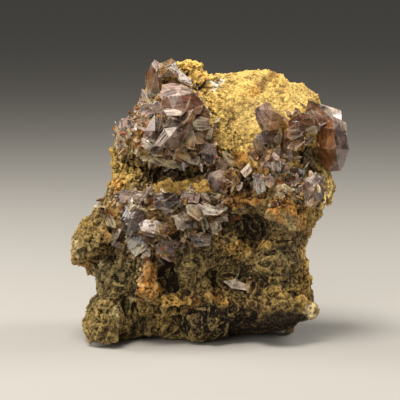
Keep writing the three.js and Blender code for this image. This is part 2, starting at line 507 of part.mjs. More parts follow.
const CRYSTALS = {
  // Crown on the top left.
  crown_red_wedge: cut([-13, 67], [
    [-15.1, 72.4, 2.4], [-14.3, 73.6, 1.4], [-16.8, 70, 0.6], [-16.8, 67.2, 0.6], [-15.6, 64, 1.4],
    [-12.8, 64.2, 3], [-12.4, 68.8, 3.6], [-12.5, 72.4, 2.6], [-13.8, 70.4, 4.2], [-13, 66, -3],
    [-14, 71, -2],
  ]),
  crown_golden_wedge: cut([-10, 68.5], [
    [-12.9, 72.5, 2.4], [-9.8, 73.9, 1.8], [-8.9, 73.2, 1.8], [-8, 70.6, 2.8], [-8.6, 69.3, 3.8],
    [-12.9, 68.9, 4.2], [-14.4, 70, 1.4], [-10.6, 71.2, 4.4], [-11, 70, -3], [-10, 72, -1.5],
  ]),
  crown_pale_strip: cut([-7.5, 68], [
    [-9.4, 71, 2.6], [-8, 71, 1.8], [-4.6, 68.2, 1], [-4.6, 66.4, 1.6], [-6.8, 66.2, 3],
    [-8, 68.2, 4], [-7, 69, -2],
  ]),
  crown_spur: cut([-16, 63.5], [
    [-17.8, 66, 1.4], [-16.4, 65.2, 1.2], [-14, 62.6, 2.4], [-14.8, 61.4, 2.8], [-17.6, 61.8, 0.8],
    [-16, 62.5, -2],
  ]),
  white_plate: cut([-8.5, 64.6], [
    [-12.4, 67, 1.4], [-9.4, 67.4, 0.8], [-7, 67, 0.8], [-4.2, 65.6, 1.6], [-8.3, 64.3, 4.6],
    [-12, 63.3, 4.2], [-12.6, 64.6, 3], [-8, 65, -2],
  ]),
  // Upper-left cluster.
  red_brown_plate: cut([-7, 61.5], [
    [-12.8, 62.2, 2.4], [-11, 64, 2], [-7.5, 65, 1.6], [-4.2, 65.2, 1], [-1.2, 62.2, 1],
    [-2.4, 59.2, 3], [-6.4, 59.9, 4.8], [-9.5, 60.2, 4.8], [-12.8, 60, 3.8], [-7, 62, -2],
  ]),
  orange_step: cut([-2.2, 59.4], [
    [-4.2, 60.8, 2.4], [-1.4, 61.8, 1.2], [0.2, 60, 1], [0.4, 57.8, 1.6], [-3.6, 57.8, 2.8],
    [-2, 59, -2],
  ]),
  thin_lilac_blade: cut([-9.5, 59.8], [
    [-12.1, 60.4, 4], [-7.2, 60.8, 4], [-6.4, 59.6, 4.6], [-7.4, 58.8, 5.6], [-11.1, 58.8, 5.6],
    [-9.5, 60.2, -1],
  ]),
  violet_cube: cut([-6.4, 58.6], [
    [-7.6, 60, 1.6], [-5.6, 60.2, 1], [-5.2, 57.8, 2], [-7, 57, 3], [-7.9, 58.2, 2.8],
    [-6.4, 58.6, -1.5],
  ]),
  bright_wedge: cut([-10, 56.5], [
    [-10.6, 58.8, 4.2], [-9.6, 57.9, 5.4], [-12.4, 55.2, 3], [-9.6, 54.9, 5.4], [-7.4, 57.6, 2.8],
    [-7.6, 55.2, 3.2], [-10, 56, -2],
  ]),
  grey_violet_plate: cut([-15, 60.5], [
    [-18, 61.4, 0.8], [-14.6, 62.8, 2], [-12.7, 62.6, 3.2], [-12.5, 59.4, 4.2], [-13.5, 57.7, 3.8],
    [-16.8, 58.3, 2.4], [-18.6, 59.6, 0.6], [-15, 61, -2],
  ]),
  kite_wedge: cut([-15, 55], [
    [-14.3, 59.2, 2.6], [-17.1, 54.8, 2.4], [-16.9, 52.6, 3], [-14.4, 51.7, 3.8], [-13.3, 54.4, 4],
    [-14.2, 54.8, 5.6], [-15, 55, -2],
  ]),
  shadow_blade: cut([-12.9, 56.4], [
    [-13.6, 58.6, 1.2], [-12.2, 58.4, 1.4], [-11.8, 55.6, 2.2], [-13.2, 54.4, 2.8], [-13.8, 56, 2],
    [-12.9, 56.4, -1.5],
  ]),
  lilac_side_blade: cut([-20.5, 55.5], [
    [-24.2, 55.5, 0.2], [-23.6, 57.2, -0.4], [-20.6, 58.4, 0.4], [-18.2, 57.6, 2],
    [-17.2, 54.8, 3.6], [-17.7, 52.2, 3], [-21.2, 52.2, 2.2], [-23.2, 53.8, 1.2], [-20.6, 56, 3.8],
    [-21, 55, -2.5],
  ]),
  left_shoulder_plate: cut([-20, 58.5], [
    [-22, 58, 0.2], [-20.6, 59.4, 0], [-18.3, 61, 0], [-17.2, 59, 1.8], [-18.4, 57, 1.8],
    [-21, 57.2, 1.2], [-19, 59, -2],
  ]),
  left_rim_block: cut([-23, 52], [
    [-24.8, 53.8, 0], [-22.6, 54.6, 0.8], [-20.8, 53, 1.6], [-21, 50.6, 1.6], [-24.6, 50, 0],
    [-23, 52, -2],
  ]),
  central_blade: cut([-10.5, 53], [
    [-14.8, 51, 4], [-11.8, 55.4, 5.4], [-8.2, 56, 5.6], [-6.2, 54.8, 3.4], [-8.4, 50.6, 2.8],
    [-10.8, 50.3, 4.2], [-13, 50.6, 5.2], [-10.4, 53, 7.2], [-8.6, 53.4, 6], [-10.5, 53, -2.5],
  ]),
  narrow_brown_blade: blade([-7.8, 54.2], [-3.9, 59.8], 2.8, 2.6, 2.2, 35),
  brown_side_blade: blade([-7.8, 50.2], [-5, 56], 3, 2.4, 2.8, 50),
  white_edge_blade: blade([-7.2, 50], [-5.9, 53.8], 1.7, 1.6, 2, 20),
  golden_side_plate: cut([-5, 52.4], [
    [-6.4, 54, 1.4], [-4.4, 55.2, 1.2], [-3.4, 53, 2], [-4, 49.8, 2.6], [-6, 50.2, 2.6],
    [-5, 52.4, -1.5],
  ]),
  grey_green_plate: cut([-2, 56.6], [
    [-4.4, 57, 1.8], [-2.4, 58.7, 0.8], [-0.2, 58, 0.6], [0.5, 55.6, 1.2], [-1.8, 54.8, 2.6],
    [-4, 55.2, 2.8], [-2, 56.5, -1.5],
  ]),
  bright_chip: blade([-0.7, 52.6], [0.6, 55.1], 1.9, 1.7, 1.8, 20),
  brownish_knot: cut([-2.4, 52.8], [
    [-4.6, 54, 1.2], [-2.4, 55, 1], [-0.4, 53.2, 1.2], [-0.8, 51.4, 2], [-4, 51.2, 2.4],
    [-2.4, 53, -1.5],
  ]),
  dark_violet_block: cut([-14, 49.6], [
    [-16, 50, 2.6], [-13.6, 51, 2], [-12.2, 50.2, 2.4], [-12.4, 48, 3.4], [-14.8, 48, 3.8],
    [-14, 49.6, -1.5],
  ]),
  small_white_blade: cut([-16, 51.6], [
    [-18, 53, 1.6], [-16.4, 53, 1.6], [-14, 51.9, 2.8], [-14, 50.6, 3.6], [-17, 50, 2.8],
    [-16, 51.6, -1.5],
  ]),
  cream_plank: cut([-13, 46.4], [
    [-18.6, 49.2, 3.4], [-17.2, 49.8, 2.6], [-13.2, 48.5, 3.4], [-9.6, 47.6, 4.4], [-7.8, 45.1, 5],
    [-9.4, 44.7, 5.8], [-13.4, 45.8, 6.4], [-18.2, 47.4, 5.6], [-16, 48, -3], [-11, 46.4, -3],
  ]),
  olive_blade: blade([-8.6, 49.4], [-4.2, 46], 2.4, 2, 2, -20),
  olive_side_blade: blade([-4.6, 49.6], [-2.6, 45.6], 2.2, 1.8, 2, -20),
  striated_plate: cut([0, 48.6], [
    [-2.6, 51.4, 1.6], [1.8, 51.5, 1.2], [2.2, 48.4, 2.2], [1.3, 45.9, 3], [-1.7, 45.8, 3.2],
    [-1.8, 48.6, 3], [0, 49, -1.5],
  ]),
  brown_lilac_block: cut([3.4, 45.8], [
    [1.2, 46.6, 1.2], [3.2, 47.8, 0.8], [5.8, 45.6, 1.4], [4.6, 43.8, 2.4], [2, 44.4, 2.4],
    [3.4, 45.8, -1.5],
  ]),
  // Right group.
  chisel_prism: cut([17, 57], [
    [12.1, 60.7, 4], [15.2, 62.5, 3.8], [16.5, 60.3, 7], [15.8, 54.8, 7], [13.8, 55, 5],
    [12.3, 58, 4.6], [21.8, 57.2, 0.2], [20.9, 56, 1.8], [19.2, 53.6, 2], [16, 54, 1.6],
    [16, 58, -2.5], [18.5, 56.5, -2.5],
  ]),
  lilac_foot_block: cut([15, 53], [
    [12.3, 53.4, 1.6], [14, 54.8, 1.4], [17.4, 54, 1.6], [18, 52, 2.2], [14.6, 51.2, 3],
    [12.4, 51.8, 2.6], [15, 53, -1.5],
  ]),
  pink_rib: blade([20, 48.2], [20.6, 54.6], 2.2, 2, 2.4, 20),
  brown_rib: blade([18, 49], [18.9, 54.8], 2.4, 2, 2.2, -30),
  red_brown_mass: cut([24, 57.2], [
    [20.8, 57.4, 1.2], [24.2, 59.6, 0.8], [27.6, 58.8, 2], [28, 55.6, 3.4], [24, 54.2, 4],
    [20.8, 55, 2.6], [23.6, 57.4, 3.8], [24, 57, -2],
  ]),
  golden_under_plate: cut([22.6, 54], [
    [20.6, 55, 1.6], [24.4, 55.4, 1.6], [24.8, 53.6, 2.4], [22, 52.4, 2.8], [20.6, 53, 2.4],
    [22.6, 54, -1.5],
  ]),
  striated_roof: cut([28, 59.5], [
    [26.1, 62.9, -1], [27.6, 62.6, -1], [32.2, 60.4, -0.4], [32.8, 58.2, 0.8], [29.4, 55.8, 4],
    [25, 58.8, 2], [27, 60.4, 2.6], [28, 59, -3],
  ]),
  pale_rim_blade: cut([30, 60], [
    [28.2, 62.3, -1.6], [32, 60.7, -1.2], [33.7, 59, -0.4], [34.8, 60.2, -0.8], [35, 57.4, 0.2],
    [32, 58.6, 1.2], [29.2, 60.6, 0.8], [31, 59, -3],
  ]),
  axe_head: cut([29, 51], [
    [28.4, 55.8, 1], [30, 57.2, 0.8], [32.4, 58.8, 0.6], [35, 57.6, -0.4], [36, 54.6, -0.8],
    [37, 49.8, -0.8], [35.5, 45.2, 0], [34.7, 44.2, 0.2], [31, 43.9, 0.6], [29.4, 47.2, 1.2],
    [28, 51.6, 1], [33, 55.4, 4.6], [33.4, 50.2, 5.4], [34, 46.8, 3.4], [29.9, 50.1, 3.4],
    [30, 51, -5], [33.5, 53, -3.4], [33, 47.5, -2.4],
  ]),
  axe_head_rim: cut([34, 55.4], [
    [34.6, 57.6, 0.2], [36.1, 56.9, -0.2], [36.5, 53.8, 0.4], [35.2, 54.8, 1.6], [34.6, 56, 1.4],
    [35, 56, -2],
  ]),
  pale_brown_blade: cut([22.6, 51.8], [
    [20.5, 50.2, 2], [22.2, 52.8, 1.4], [25.3, 54.6, 1], [25.3, 52, 2.6], [22.8, 49.5, 3.2],
    [22.8, 51.6, -1.5],
  ]),
  cream_block: cut([27, 55], [
    [25.6, 56.1, 2.8], [28.4, 56, 2.4], [28.6, 54, 3.2], [25.6, 53.9, 3.6], [27, 55, -1],
  ]),
  hollow_rib: blade([25.4, 50.4], [27.9, 45.2], 2.4, 2, 1.2, 30),
  // Centre and right below the plateau.
  lilac_lozenge: cut([2, 41.6], [
    [0, 43.6, 1.8], [3, 44.6, 1.2], [5.2, 43.4, 1.6], [4.3, 41.6, 2.4], [2.7, 39.4, 2.8],
    [1, 38.2, 2.4], [-0.4, 39.4, 2.2], [-0.5, 41.6, 2.4], [2, 42, 3.8], [2, 41.6, -1.5],
  ]),
  cream_wedge: blade([6.3, 45.6], [4, 49], 2.2, 2, 1.6, 30),
  pink_wedge: cut([9.8, 44.4], [
    [8.2, 44, 1.4], [10.6, 46.4, 0.8], [11.5, 44.2, 1.4], [9.6, 42.2, 2.2], [9.8, 44.4, -1.2],
  ]),
  pale_stripe: blade([8, 38.8], [10.8, 42.6], 1.8, 1.6, 2, 10),
  sparkling_pair: cut([18.2, 45.2], [
    [16.4, 46.5, 1.2], [19, 46.9, 1], [19, 44, 2.4], [16.8, 44.4, 2], [18, 45.2, -1.2],
  ]),
  sparkling_block: cut([20.2, 45], [
    [18.8, 46.4, 1.2], [21.2, 46.2, 1], [21.4, 43.6, 1.6], [18.8, 43.2, 2.2], [20, 45, -1.2],
  ]),
  blue_grey_block: cut([13.6, 40.8], [
    [11.7, 43, 0.8], [14, 43.9, 0.8], [15.6, 42, 1.4], [15, 39, 2.6], [13, 37.8, 2.4],
    [11.8, 40, 2], [13.6, 41, -1.5],
  ]),
  pink_side_block: cut([16, 41.4], [
    [14.8, 42.8, 0.6], [16.8, 42.8, 0.6], [17.6, 41, 1], [16, 39.6, 1.8], [14.8, 40.6, 1.6],
    [16, 41.4, -1.2],
  ]),
  rounded_violet_block: cut([27.6, 39.4], [
    [25.2, 42, 1.4], [28, 43.6, 0.6], [30.3, 42.4, -0.4], [30.6, 38, -0.2], [28.8, 35.2, 1.4],
    [25.8, 35.2, 2], [24.8, 38.6, 2], [27.8, 40, 3.8], [27.6, 39.5, -2],
  ]),
  blue_white_plate: blade([21.2, 39.8], [25.3, 36.3], 2.6, 1.9, 2, -30),
  pale_brown_scale: blade([25, 35], [21.8, 36.6], 2.2, 1.7, 1.8, 20),
  ledge_wedge: blade([14.2, 47.6], [12.4, 52.4], 3, 2.4, 2.4, 30),
  lilac_ledge_blade: blade([17.4, 47], [18.6, 50.4], 2.4, 2, 2, -30),
  green_block: blade([22.4, 41.6], [19.6, 44.2], 2.6, 2.2, 1.6, 20),
  // Middle band.
  white_green_plate: cut([0.8, 33.8], [
    [-2.4, 34.9, 1.8], [0, 35.3, 1.4], [4.4, 33.8, 1.4], [2.3, 32.3, 3], [-1.4, 32.4, 3.6],
    [0.5, 34, -1.5],
  ]),
  blue_foot_plate: blade([-1.2, 30.4], [-0.6, 33.2], 2, 1.6, 1.4, 0),
  pale_green_block: cut([1.8, 29.4], [
    [0, 30.4, 1.6], [2.6, 31.2, 1], [3.6, 28.6, 1.4], [1.2, 27.2, 2.4], [1.8, 29.4, -1.5],
  ]),
  violet_white_knot: cut([-6.8, 30.8], [
    [-9.4, 32.2, 1.4], [-6.8, 33.2, 1], [-4.2, 31.6, 1.4], [-4.2, 29, 2.2], [-8.4, 28.4, 2.6],
    [-7, 30.4, 3.6], [-7, 30.6, -1.5],
  ]),
  curved_blade_upper: cut([-3.8, 34], [
    [-6.2, 35.4, 1.4], [-3.4, 35.1, 1.2], [-1.2, 32, 1.6], [-2.8, 30.8, 3], [-5.8, 32.8, 3.2],
    [-3.8, 33.8, -1.5],
  ]),
  curved_blade_lower: cut([-1.6, 30.6], [
    [-3.1, 32.2, 2.2], [-1.2, 32.4, 1.4], [0.2, 29.2, 1.4], [-1.4, 27.8, 2.8], [-1.6, 30.6, -1.5],
  ]),
  pale_left_blade: cut([-21, 37.4], [
    [-25.2, 38, 0.2], [-22.6, 39.2, 0.6], [-17.4, 38.7, 1.2], [-16.6, 36.8, 2.2],
    [-18.8, 35.4, 2.8], [-24.9, 35.9, 1.6], [-21, 37.5, -1.8],
  ]),
  narrow_lilac_blade: blade([-18.4, 34.6], [-15.2, 39.6], 2, 1.8, 2.8, 40),
  pink_white_chips: cut([-13.4, 38.8], [
    [-15.2, 40.2, 0.6], [-13, 40, 0.6], [-11.2, 39.2, 1], [-12.4, 37.8, 1.8], [-14.8, 38, 1.8],
    [-13.4, 38.8, -1.2],
  ]),
  dark_shard: cut([-11.6, 36], [
    [-14.8, 37.4, 1], [-12.2, 38.6, 0.6], [-8.6, 38.2, 0.8], [-8, 35.8, 1.8], [-11.4, 33.6, 2.4],
    [-14.6, 34.2, 2.2], [-12, 36, 3.2], [-12, 36, -1.5],
  ]),
  white_scale: blade([-13.4, 34.4], [-9.8, 33.4], 1.8, 1.5, 1.8, 10),
  grey_violet_blade: cut([-5, 37.2], [
    [-7.8, 38.4, 0.6], [-4.6, 39.2, 0.2], [-2.4, 37.9, 0.6], [-2.7, 35.8, 1.8], [-6.8, 35.8, 2],
    [-5, 37.2, -1.5],
  ]),
  bright_splinter: blade([-8.6, 33.8], [-6.8, 36.6], 1.7, 1.5, 1.8, 30),
  short_pale_blade: blade([0.4, 35.2], [-2.5, 39], 1.8, 1.8, 1.8, -30),
  dark_left_block: cut([-20.2, 31.4], [
    [-23.4, 31, 0.8], [-22, 35.2, 0.2], [-18, 35.6, 0.6], [-17, 32.4, 2], [-18.4, 28.4, 2.8],
    [-22, 26.8, 2], [-20.4, 31.6, 3.4], [-20.4, 31.4, -1.8],
  ]),
  cream_pink_plate: cut([-15, 29.2], [
    [-18.8, 30.2, 1.2], [-16.6, 31.2, 0.8], [-13.4, 30.8, 1.2], [-10.6, 29.4, 1.8],
    [-11.6, 26.6, 3], [-14.6, 27.4, 3.4], [-18, 28.2, 2.8], [-15, 29.4, -1.8],
  ]),
  grey_boss: cut([-11.8, 24], [
    [-14.2, 25.8, 0.6], [-11.8, 26.6, 0.4], [-9.4, 25.6, 1], [-9, 22.4, 2], [-10.8, 21.2, 2.2],
    [-14, 22.2, 2.2], [-11.8, 24, 3.4], [-12, 24, -1.8],
  ]),
  greenish_plate: cut([-18.6, 24.6], [
    [-21.6, 26.8, 0.4], [-18.4, 28.2, 0.2], [-15.6, 27, 0.6], [-16.6, 23.2, 2], [-19.6, 21.2, 1.8],
    [-21.6, 23.6, 1.2], [-18.8, 25, -1.5],
  ]),
  violet_white_plate: cut([-2.4, 25.8], [
    [-5.4, 27, 0.4], [-2, 27.8, 0.2], [0.6, 26.8, 0.4], [0.4, 24.2, 1.6], [-3.6, 23.8, 1.8],
    [-2.4, 25.8, -1.5],
  ]),
  side_shard: blade([-23.6, 29], [-25.8, 24.8], 2.6, 2, 1.6, 25),
  // Single crystals in the rock.
  square_crystal: cut([-26.4, 31], [
    [-27.8, 31.6, 0.6], [-26.6, 33, 0.4], [-24.7, 30.6, 1.2], [-24.8, 28.8, 2], [-27.2, 29.6, 1.8],
    [-26.3, 31, -1.5],
  ]),
  bright_flake: cut([7.4, 13.8], [
    [3.7, 14.6, 0.6], [6.8, 15.2, 0.2], [11.2, 13.2, 0.4], [10.6, 12, 2], [6.2, 12.7, 2.4],
    [7.4, 13.8, -1.5],
  ]),
};

// ---------------------------------------------------------------- building the specimen
// Two rows of cells reach below the resting plane, so that the skin closes flat on it.
const ROCK_LOW = [-40.8, -26, -1.5 * FACET];
const ROCK_HIGH = [40, 33, 80];
const rockSkin = facetField(rockField, ROCK_LOW, ROCK_HIGH, FACET);
let rock = toSolid(rockSkin);
for (const piece of ROCK_CHUNKS) {
  rock = rock.add(toSolid(piece));
}
[rock] = rock.decompose().sort((a, b) => b.volume() - a.volume());
const rockSpace = toSolid(swollen(toGeometry(rock), CLEARANCE));

const cutCrystals = Object.entries(CRYSTALS).map(([name, geometry]) => [name, toSolid(geometry)]);
let grown = cutCrystals[0][1];
for (const [, solid] of cutCrystals.slice(1)) {
  grown = grown.add(solid);
}
grown = grown.subtract(rockSpace).subtract(rock);

/** A grown-together body is called after the largest crystal in it. */
function largestCrystalIn(body) {
  let best = ['', 0];
  for (const [name, solid] of cutCrystals) {
    const share = body.intersect(solid).volume();
    if (share > best[1]) best = [name, share];
  }
  return best[0];
}

function plainFinish(name, color, roughness) {
  return new THREE.MeshStandardMaterial({ name, color, roughness, metalness: 0 });
}
const rockMaterial = plainFinish('matrix', 0xb08d4a, 0.95);
const crystalMaterial = plainFinish('axinite', 0x9c7f86, 0.2);

const specimen = new THREE.Group();
specimen.name = 'axinite_specimen';

function addPiece(name, solid, material) {
  const mesh = new THREE.Mesh(toGeometry(solid), material);
  mesh.name = name;
  specimen.add(mesh);
}

addPiece('matrix_rock', rock, rockMaterial);
const crystalBodies = grown.decompose().filter((body) => body.volume() > SMALLEST_CRYSTAL);
crystalBodies.sort((a, b) => b.volume() - a.volume());
const named = new Set();
for (const body of crystalBodies) {
  const name = largestCrystalIn(body);
  // A splinter cut off its crystal by the rock is left out.
  if (named.has(name)) continue;
  named.add(name);
  addPiece(name, body, crystalMaterial);
}

// The origin is the middle of the footprint, on the resting plane.
const box = new THREE.Box3().setFromObject(specimen);
const middle = box.getCenter(new THREE.Vector3());
for (const mesh of specimen.children) {
  mesh.geometry.translate(-middle.x, -middle.y, -box.min.z);
}

export default specimen;
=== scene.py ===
# %% [markdown]
# # Axinite crystals on a lump of rock
#
# The real thing is a hand specimen from a mineral drawer: a lump of ochre and olive rock, about
# seven centimetres across, with violet-brown axinite blades grown in nests on its front. This
# lesson dresses the plain solids of that lump for the camera. The solids give the places and the
# sizes, and everything finer is made here: broken rock skin, grains, splinters, small blades,
# growth lines on the crystals, and the finishes.

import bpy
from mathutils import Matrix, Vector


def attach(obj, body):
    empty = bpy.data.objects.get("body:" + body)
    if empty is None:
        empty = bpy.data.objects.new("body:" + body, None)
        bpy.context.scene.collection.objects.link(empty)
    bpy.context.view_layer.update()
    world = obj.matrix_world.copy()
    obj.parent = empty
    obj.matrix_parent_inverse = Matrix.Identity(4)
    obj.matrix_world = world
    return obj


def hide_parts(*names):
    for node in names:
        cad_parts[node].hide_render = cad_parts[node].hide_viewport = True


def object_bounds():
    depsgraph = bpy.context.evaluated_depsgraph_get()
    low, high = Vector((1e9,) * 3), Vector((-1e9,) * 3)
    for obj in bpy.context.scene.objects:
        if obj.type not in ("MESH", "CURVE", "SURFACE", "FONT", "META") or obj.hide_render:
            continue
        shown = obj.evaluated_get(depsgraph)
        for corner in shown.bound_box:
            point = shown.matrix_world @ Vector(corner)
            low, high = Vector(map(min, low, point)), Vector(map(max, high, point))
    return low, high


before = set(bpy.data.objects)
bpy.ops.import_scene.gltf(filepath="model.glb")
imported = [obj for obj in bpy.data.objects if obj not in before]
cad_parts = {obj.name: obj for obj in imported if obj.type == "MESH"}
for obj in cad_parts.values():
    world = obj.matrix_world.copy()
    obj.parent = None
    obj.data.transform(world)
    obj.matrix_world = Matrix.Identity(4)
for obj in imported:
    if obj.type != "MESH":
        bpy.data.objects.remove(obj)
CAD_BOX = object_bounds()
print("solids:", len(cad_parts), "box:", CAD_BOX)

# %% Tools for arrays, noise and looking up neighbours
import math

import bmesh
import bpy
import numpy as np
from mathutils import Vector, bvhtree, noise

MM = 0.001
NOISE_SEED = 7
scene = bpy.context.scene
noise.seed_set(NOISE_SEED)  # without it, vector noise starts anew in each run
LOW, HIGH = (np.array(corner, dtype=float) for corner in CAD_BOX)
print("width, depth, height in mm:", np.round((HIGH - LOW) / MM, 2))

# %% [markdown]
# ## One place to say where things are
#
# The front of the lump is drawn like a map: millimetres to the right of the middle and
# millimetres up from the table, as they are seen from half a metre away. A point of the map lies
# on an upright plane through the middle of the lump, and the same line of sight goes on to the
# surface behind or before the plane. With this one rule a patch of colour or a nest of small
# blades is placed by two numbers.

# %% From a point on the lump to its place on the map
EYE = np.array([0.05, -499.32, 100.0])  # mm, in the frame
MAP_PLANE_Y = 0.68                      # mm, where the map stands in the frame
MAP_SHIFT_X = 0.05                      # mm, the map's middle in the frame


def on_map(points):
    """Map coordinates in mm of an array of points in metres."""
    mm = points / MM
    share = (MAP_PLANE_Y - EYE[1]) / (mm[:, 1] - EYE[1])
    across = EYE[0] + (mm[:, 0] - EYE[0]) * share - MAP_SHIFT_X
    up = EYE[2] + (mm[:, 2] - EYE[2]) * share
    return across, up


print("middle of the front on the map:", on_map(np.array([[0.0, -0.01, 0.037]])))

# %% [markdown]
# ## Short words for trees and meshes
#
# Every finish and every finer shape below is a tree of nodes or a list of corners. A few short
# words say what is done to them most often: add a node, work out a number, turn one range into
# another, take the plain mesh of a thing. With these words the later cells stay short.


# %% Words for node trees
def node(tree, kind, inputs=None, **settings):
    """Adds a node. A socket among the inputs is linked, anything else becomes the value."""
    made = tree.nodes.new(kind)
    for name, value in settings.items():
        setattr(made, name, value)
    for place, value in (inputs or {}).items():
        if isinstance(value, bpy.types.NodeSocket):
            tree.links.new(value, made.inputs[place])
        else:
            made.inputs[place].default_value = value
    return made


def new_tree(name, kind, inputs, outputs):
    """An empty tree with named sockets of these forms, and what its input node gives."""
    tree = bpy.data.node_groups.new(name, kind)
    for side, sockets in (("INPUT", inputs), ("OUTPUT", outputs)):
        for socket, form in sockets.items():
            tree.interface.new_socket(socket, in_out=side, socket_type="NodeSocket" + form)
    return tree, node(tree, "NodeGroupInput").outputs


def maths(tree, operation, *values):
    made = node(tree, "ShaderNodeMath", dict(enumerate(values)), operation=operation)
    return made.outputs[0]


def vectors(tree, operation, *values, out="Vector"):
    made = node(tree, "ShaderNodeVectorMath", dict(enumerate(values)), operation=operation)
    return made.outputs[out]


def scaled(tree, vector, factor):
    """A vector times a number."""
    return node(tree, "ShaderNodeVectorMath", {0: vector, "Scale": factor},
                operation="SCALE").outputs[0]


def one_minus(tree, value, share):
    """1 less this share of a value."""
    return maths(tree, "SUBTRACT", 1.0, maths(tree, "MULTIPLY", value, share))


def ramp(tree, value, low, high, start=0.0, end=1.0):
    """The start where a value is low, the end where it is high, and evenly between."""
    return node(tree, "ShaderNodeMapRange", {
        "Value": value, "From Min": low, "From Max": high, "To Min": start,
        "To Max": end}).outputs[0]


def clouds(tree, place, scale, detail, roughness=0.5):
    """Smooth noise with this many waves to a metre: a number and a colour."""
    return node(tree, "ShaderNodeTexNoise", {
        "Vector": place, "Scale": scale, "Detail": detail, "Roughness": roughness}).outputs


def mixed(tree, share, one, other, blend="MIX"):
    return node(tree, "ShaderNodeMix", {0: share, 6: one, 7: other}, data_type="RGBA",
                blend_type=blend).outputs[2]


print("words for node trees ready")


# %% Words for finishes
def new_finish(name):
    """A new material, its tree and its surface shader."""
    finish = bpy.data.materials.new(name)
    finish.use_nodes = True
    return finish, finish.node_tree, finish.node_tree.nodes["Principled BSDF"]


def painted(tree, name, output="Fac"):
    """What a piece's corners say under this name."""
    return node(tree, "ShaderNodeAttribute", attribute_name=name).outputs[output]


print("words for finishes ready")


# %% Words for plain meshes
JOIN_WITHIN = 0.002 * MM


def settle(thing):
    """Makes what the modifiers show the thing's own plain mesh, and takes them off."""
    graph = bpy.context.evaluated_depsgraph_get()
    shown = thing.evaluated_get(graph)
    made = bpy.data.meshes.new_from_object(
        shown, preserve_all_data_layers=True, depsgraph=graph)
    thing.modifiers.clear()
    thing.data = made
    return thing


def corners_of(mesh):
    row = np.empty(len(mesh.vertices) * 3, dtype=np.float32)
    mesh.vertices.foreach_get("co", row)
    return row.reshape(-1, 3).astype(float)


def triangle_count(mesh):
    return sum(len(face.vertices) - 2 for face in mesh.polygons)


def new_piece(name, mesh):
    thing = bpy.data.objects.new(name, mesh)
    scene.collection.objects.link(thing)
    return thing


def merged_copy(node_name):
    """A copy of a solid's mesh with its loose triangles joined at their corners."""
    mesh = bpy.data.meshes.new(node_name + "_copy")
    work = bmesh.new()
    work.from_mesh(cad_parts[node_name].data)
    bmesh.ops.remove_doubles(work, verts=work.verts, dist=JOIN_WITHIN)
    work.to_mesh(mesh)
    work.free()
    return mesh


print("words for meshes ready")

# %% [markdown]
# ## A palette for weathered rock
#
# The matrix is coloured by iron: fresh faces are grey and sage, rusted ones ochre, orange and
# red-brown, and the hollows are painted dark, partly for earth and partly as painted shade. Each
# colour is mixed once here, as a painter would, in ordinary screen values, and turned to the
# linear values that the renderer counts in.


# %% Colours of the rock and of the crystals
def screen(red, green, blue):
    """Linear colour from screen values of 0 to 255."""
    def linear(value):
        value /= 255
        return value / 12.92 if value <= 0.04045 else ((value + 0.055) / 1.055) ** 2.4
    return (linear(red), linear(green), linear(blue), 1.0)


ROCK_COLOURS = {
    "ochre yellow": screen(188, 158, 90),
    "pale yellow": screen(204, 176, 110),
    "bright yellow": screen(192, 160, 84),
    "gold": screen(176, 142, 72),
    "mustard": screen(136, 106, 50),
    "cream": screen(214, 198, 158),
    "white chalk": screen(222, 214, 198),
    "orange ochre": screen(150, 106, 46),
    "iron orange": screen(140, 92, 38),
    "rust": screen(112, 76, 40),
    "red umber": screen(74, 52, 34),
    "violet brown": screen(116, 90, 80),
    "umber": screen(50, 35, 19),
    "near black": screen(24, 17, 11),
    "olive": screen(90, 76, 42),
    "olive yellow": screen(136, 112, 58),
    "dark olive": screen(60, 49, 29),
    "olive grey": screen(94, 81, 52),
    "grey brown": screen(90, 73, 50),
    "dark grey": screen(60, 51, 36),
    "sage": screen(110, 100, 70),
    "pale sage": screen(160, 148, 110),
}
print("rock colours:", len(ROCK_COLOURS))
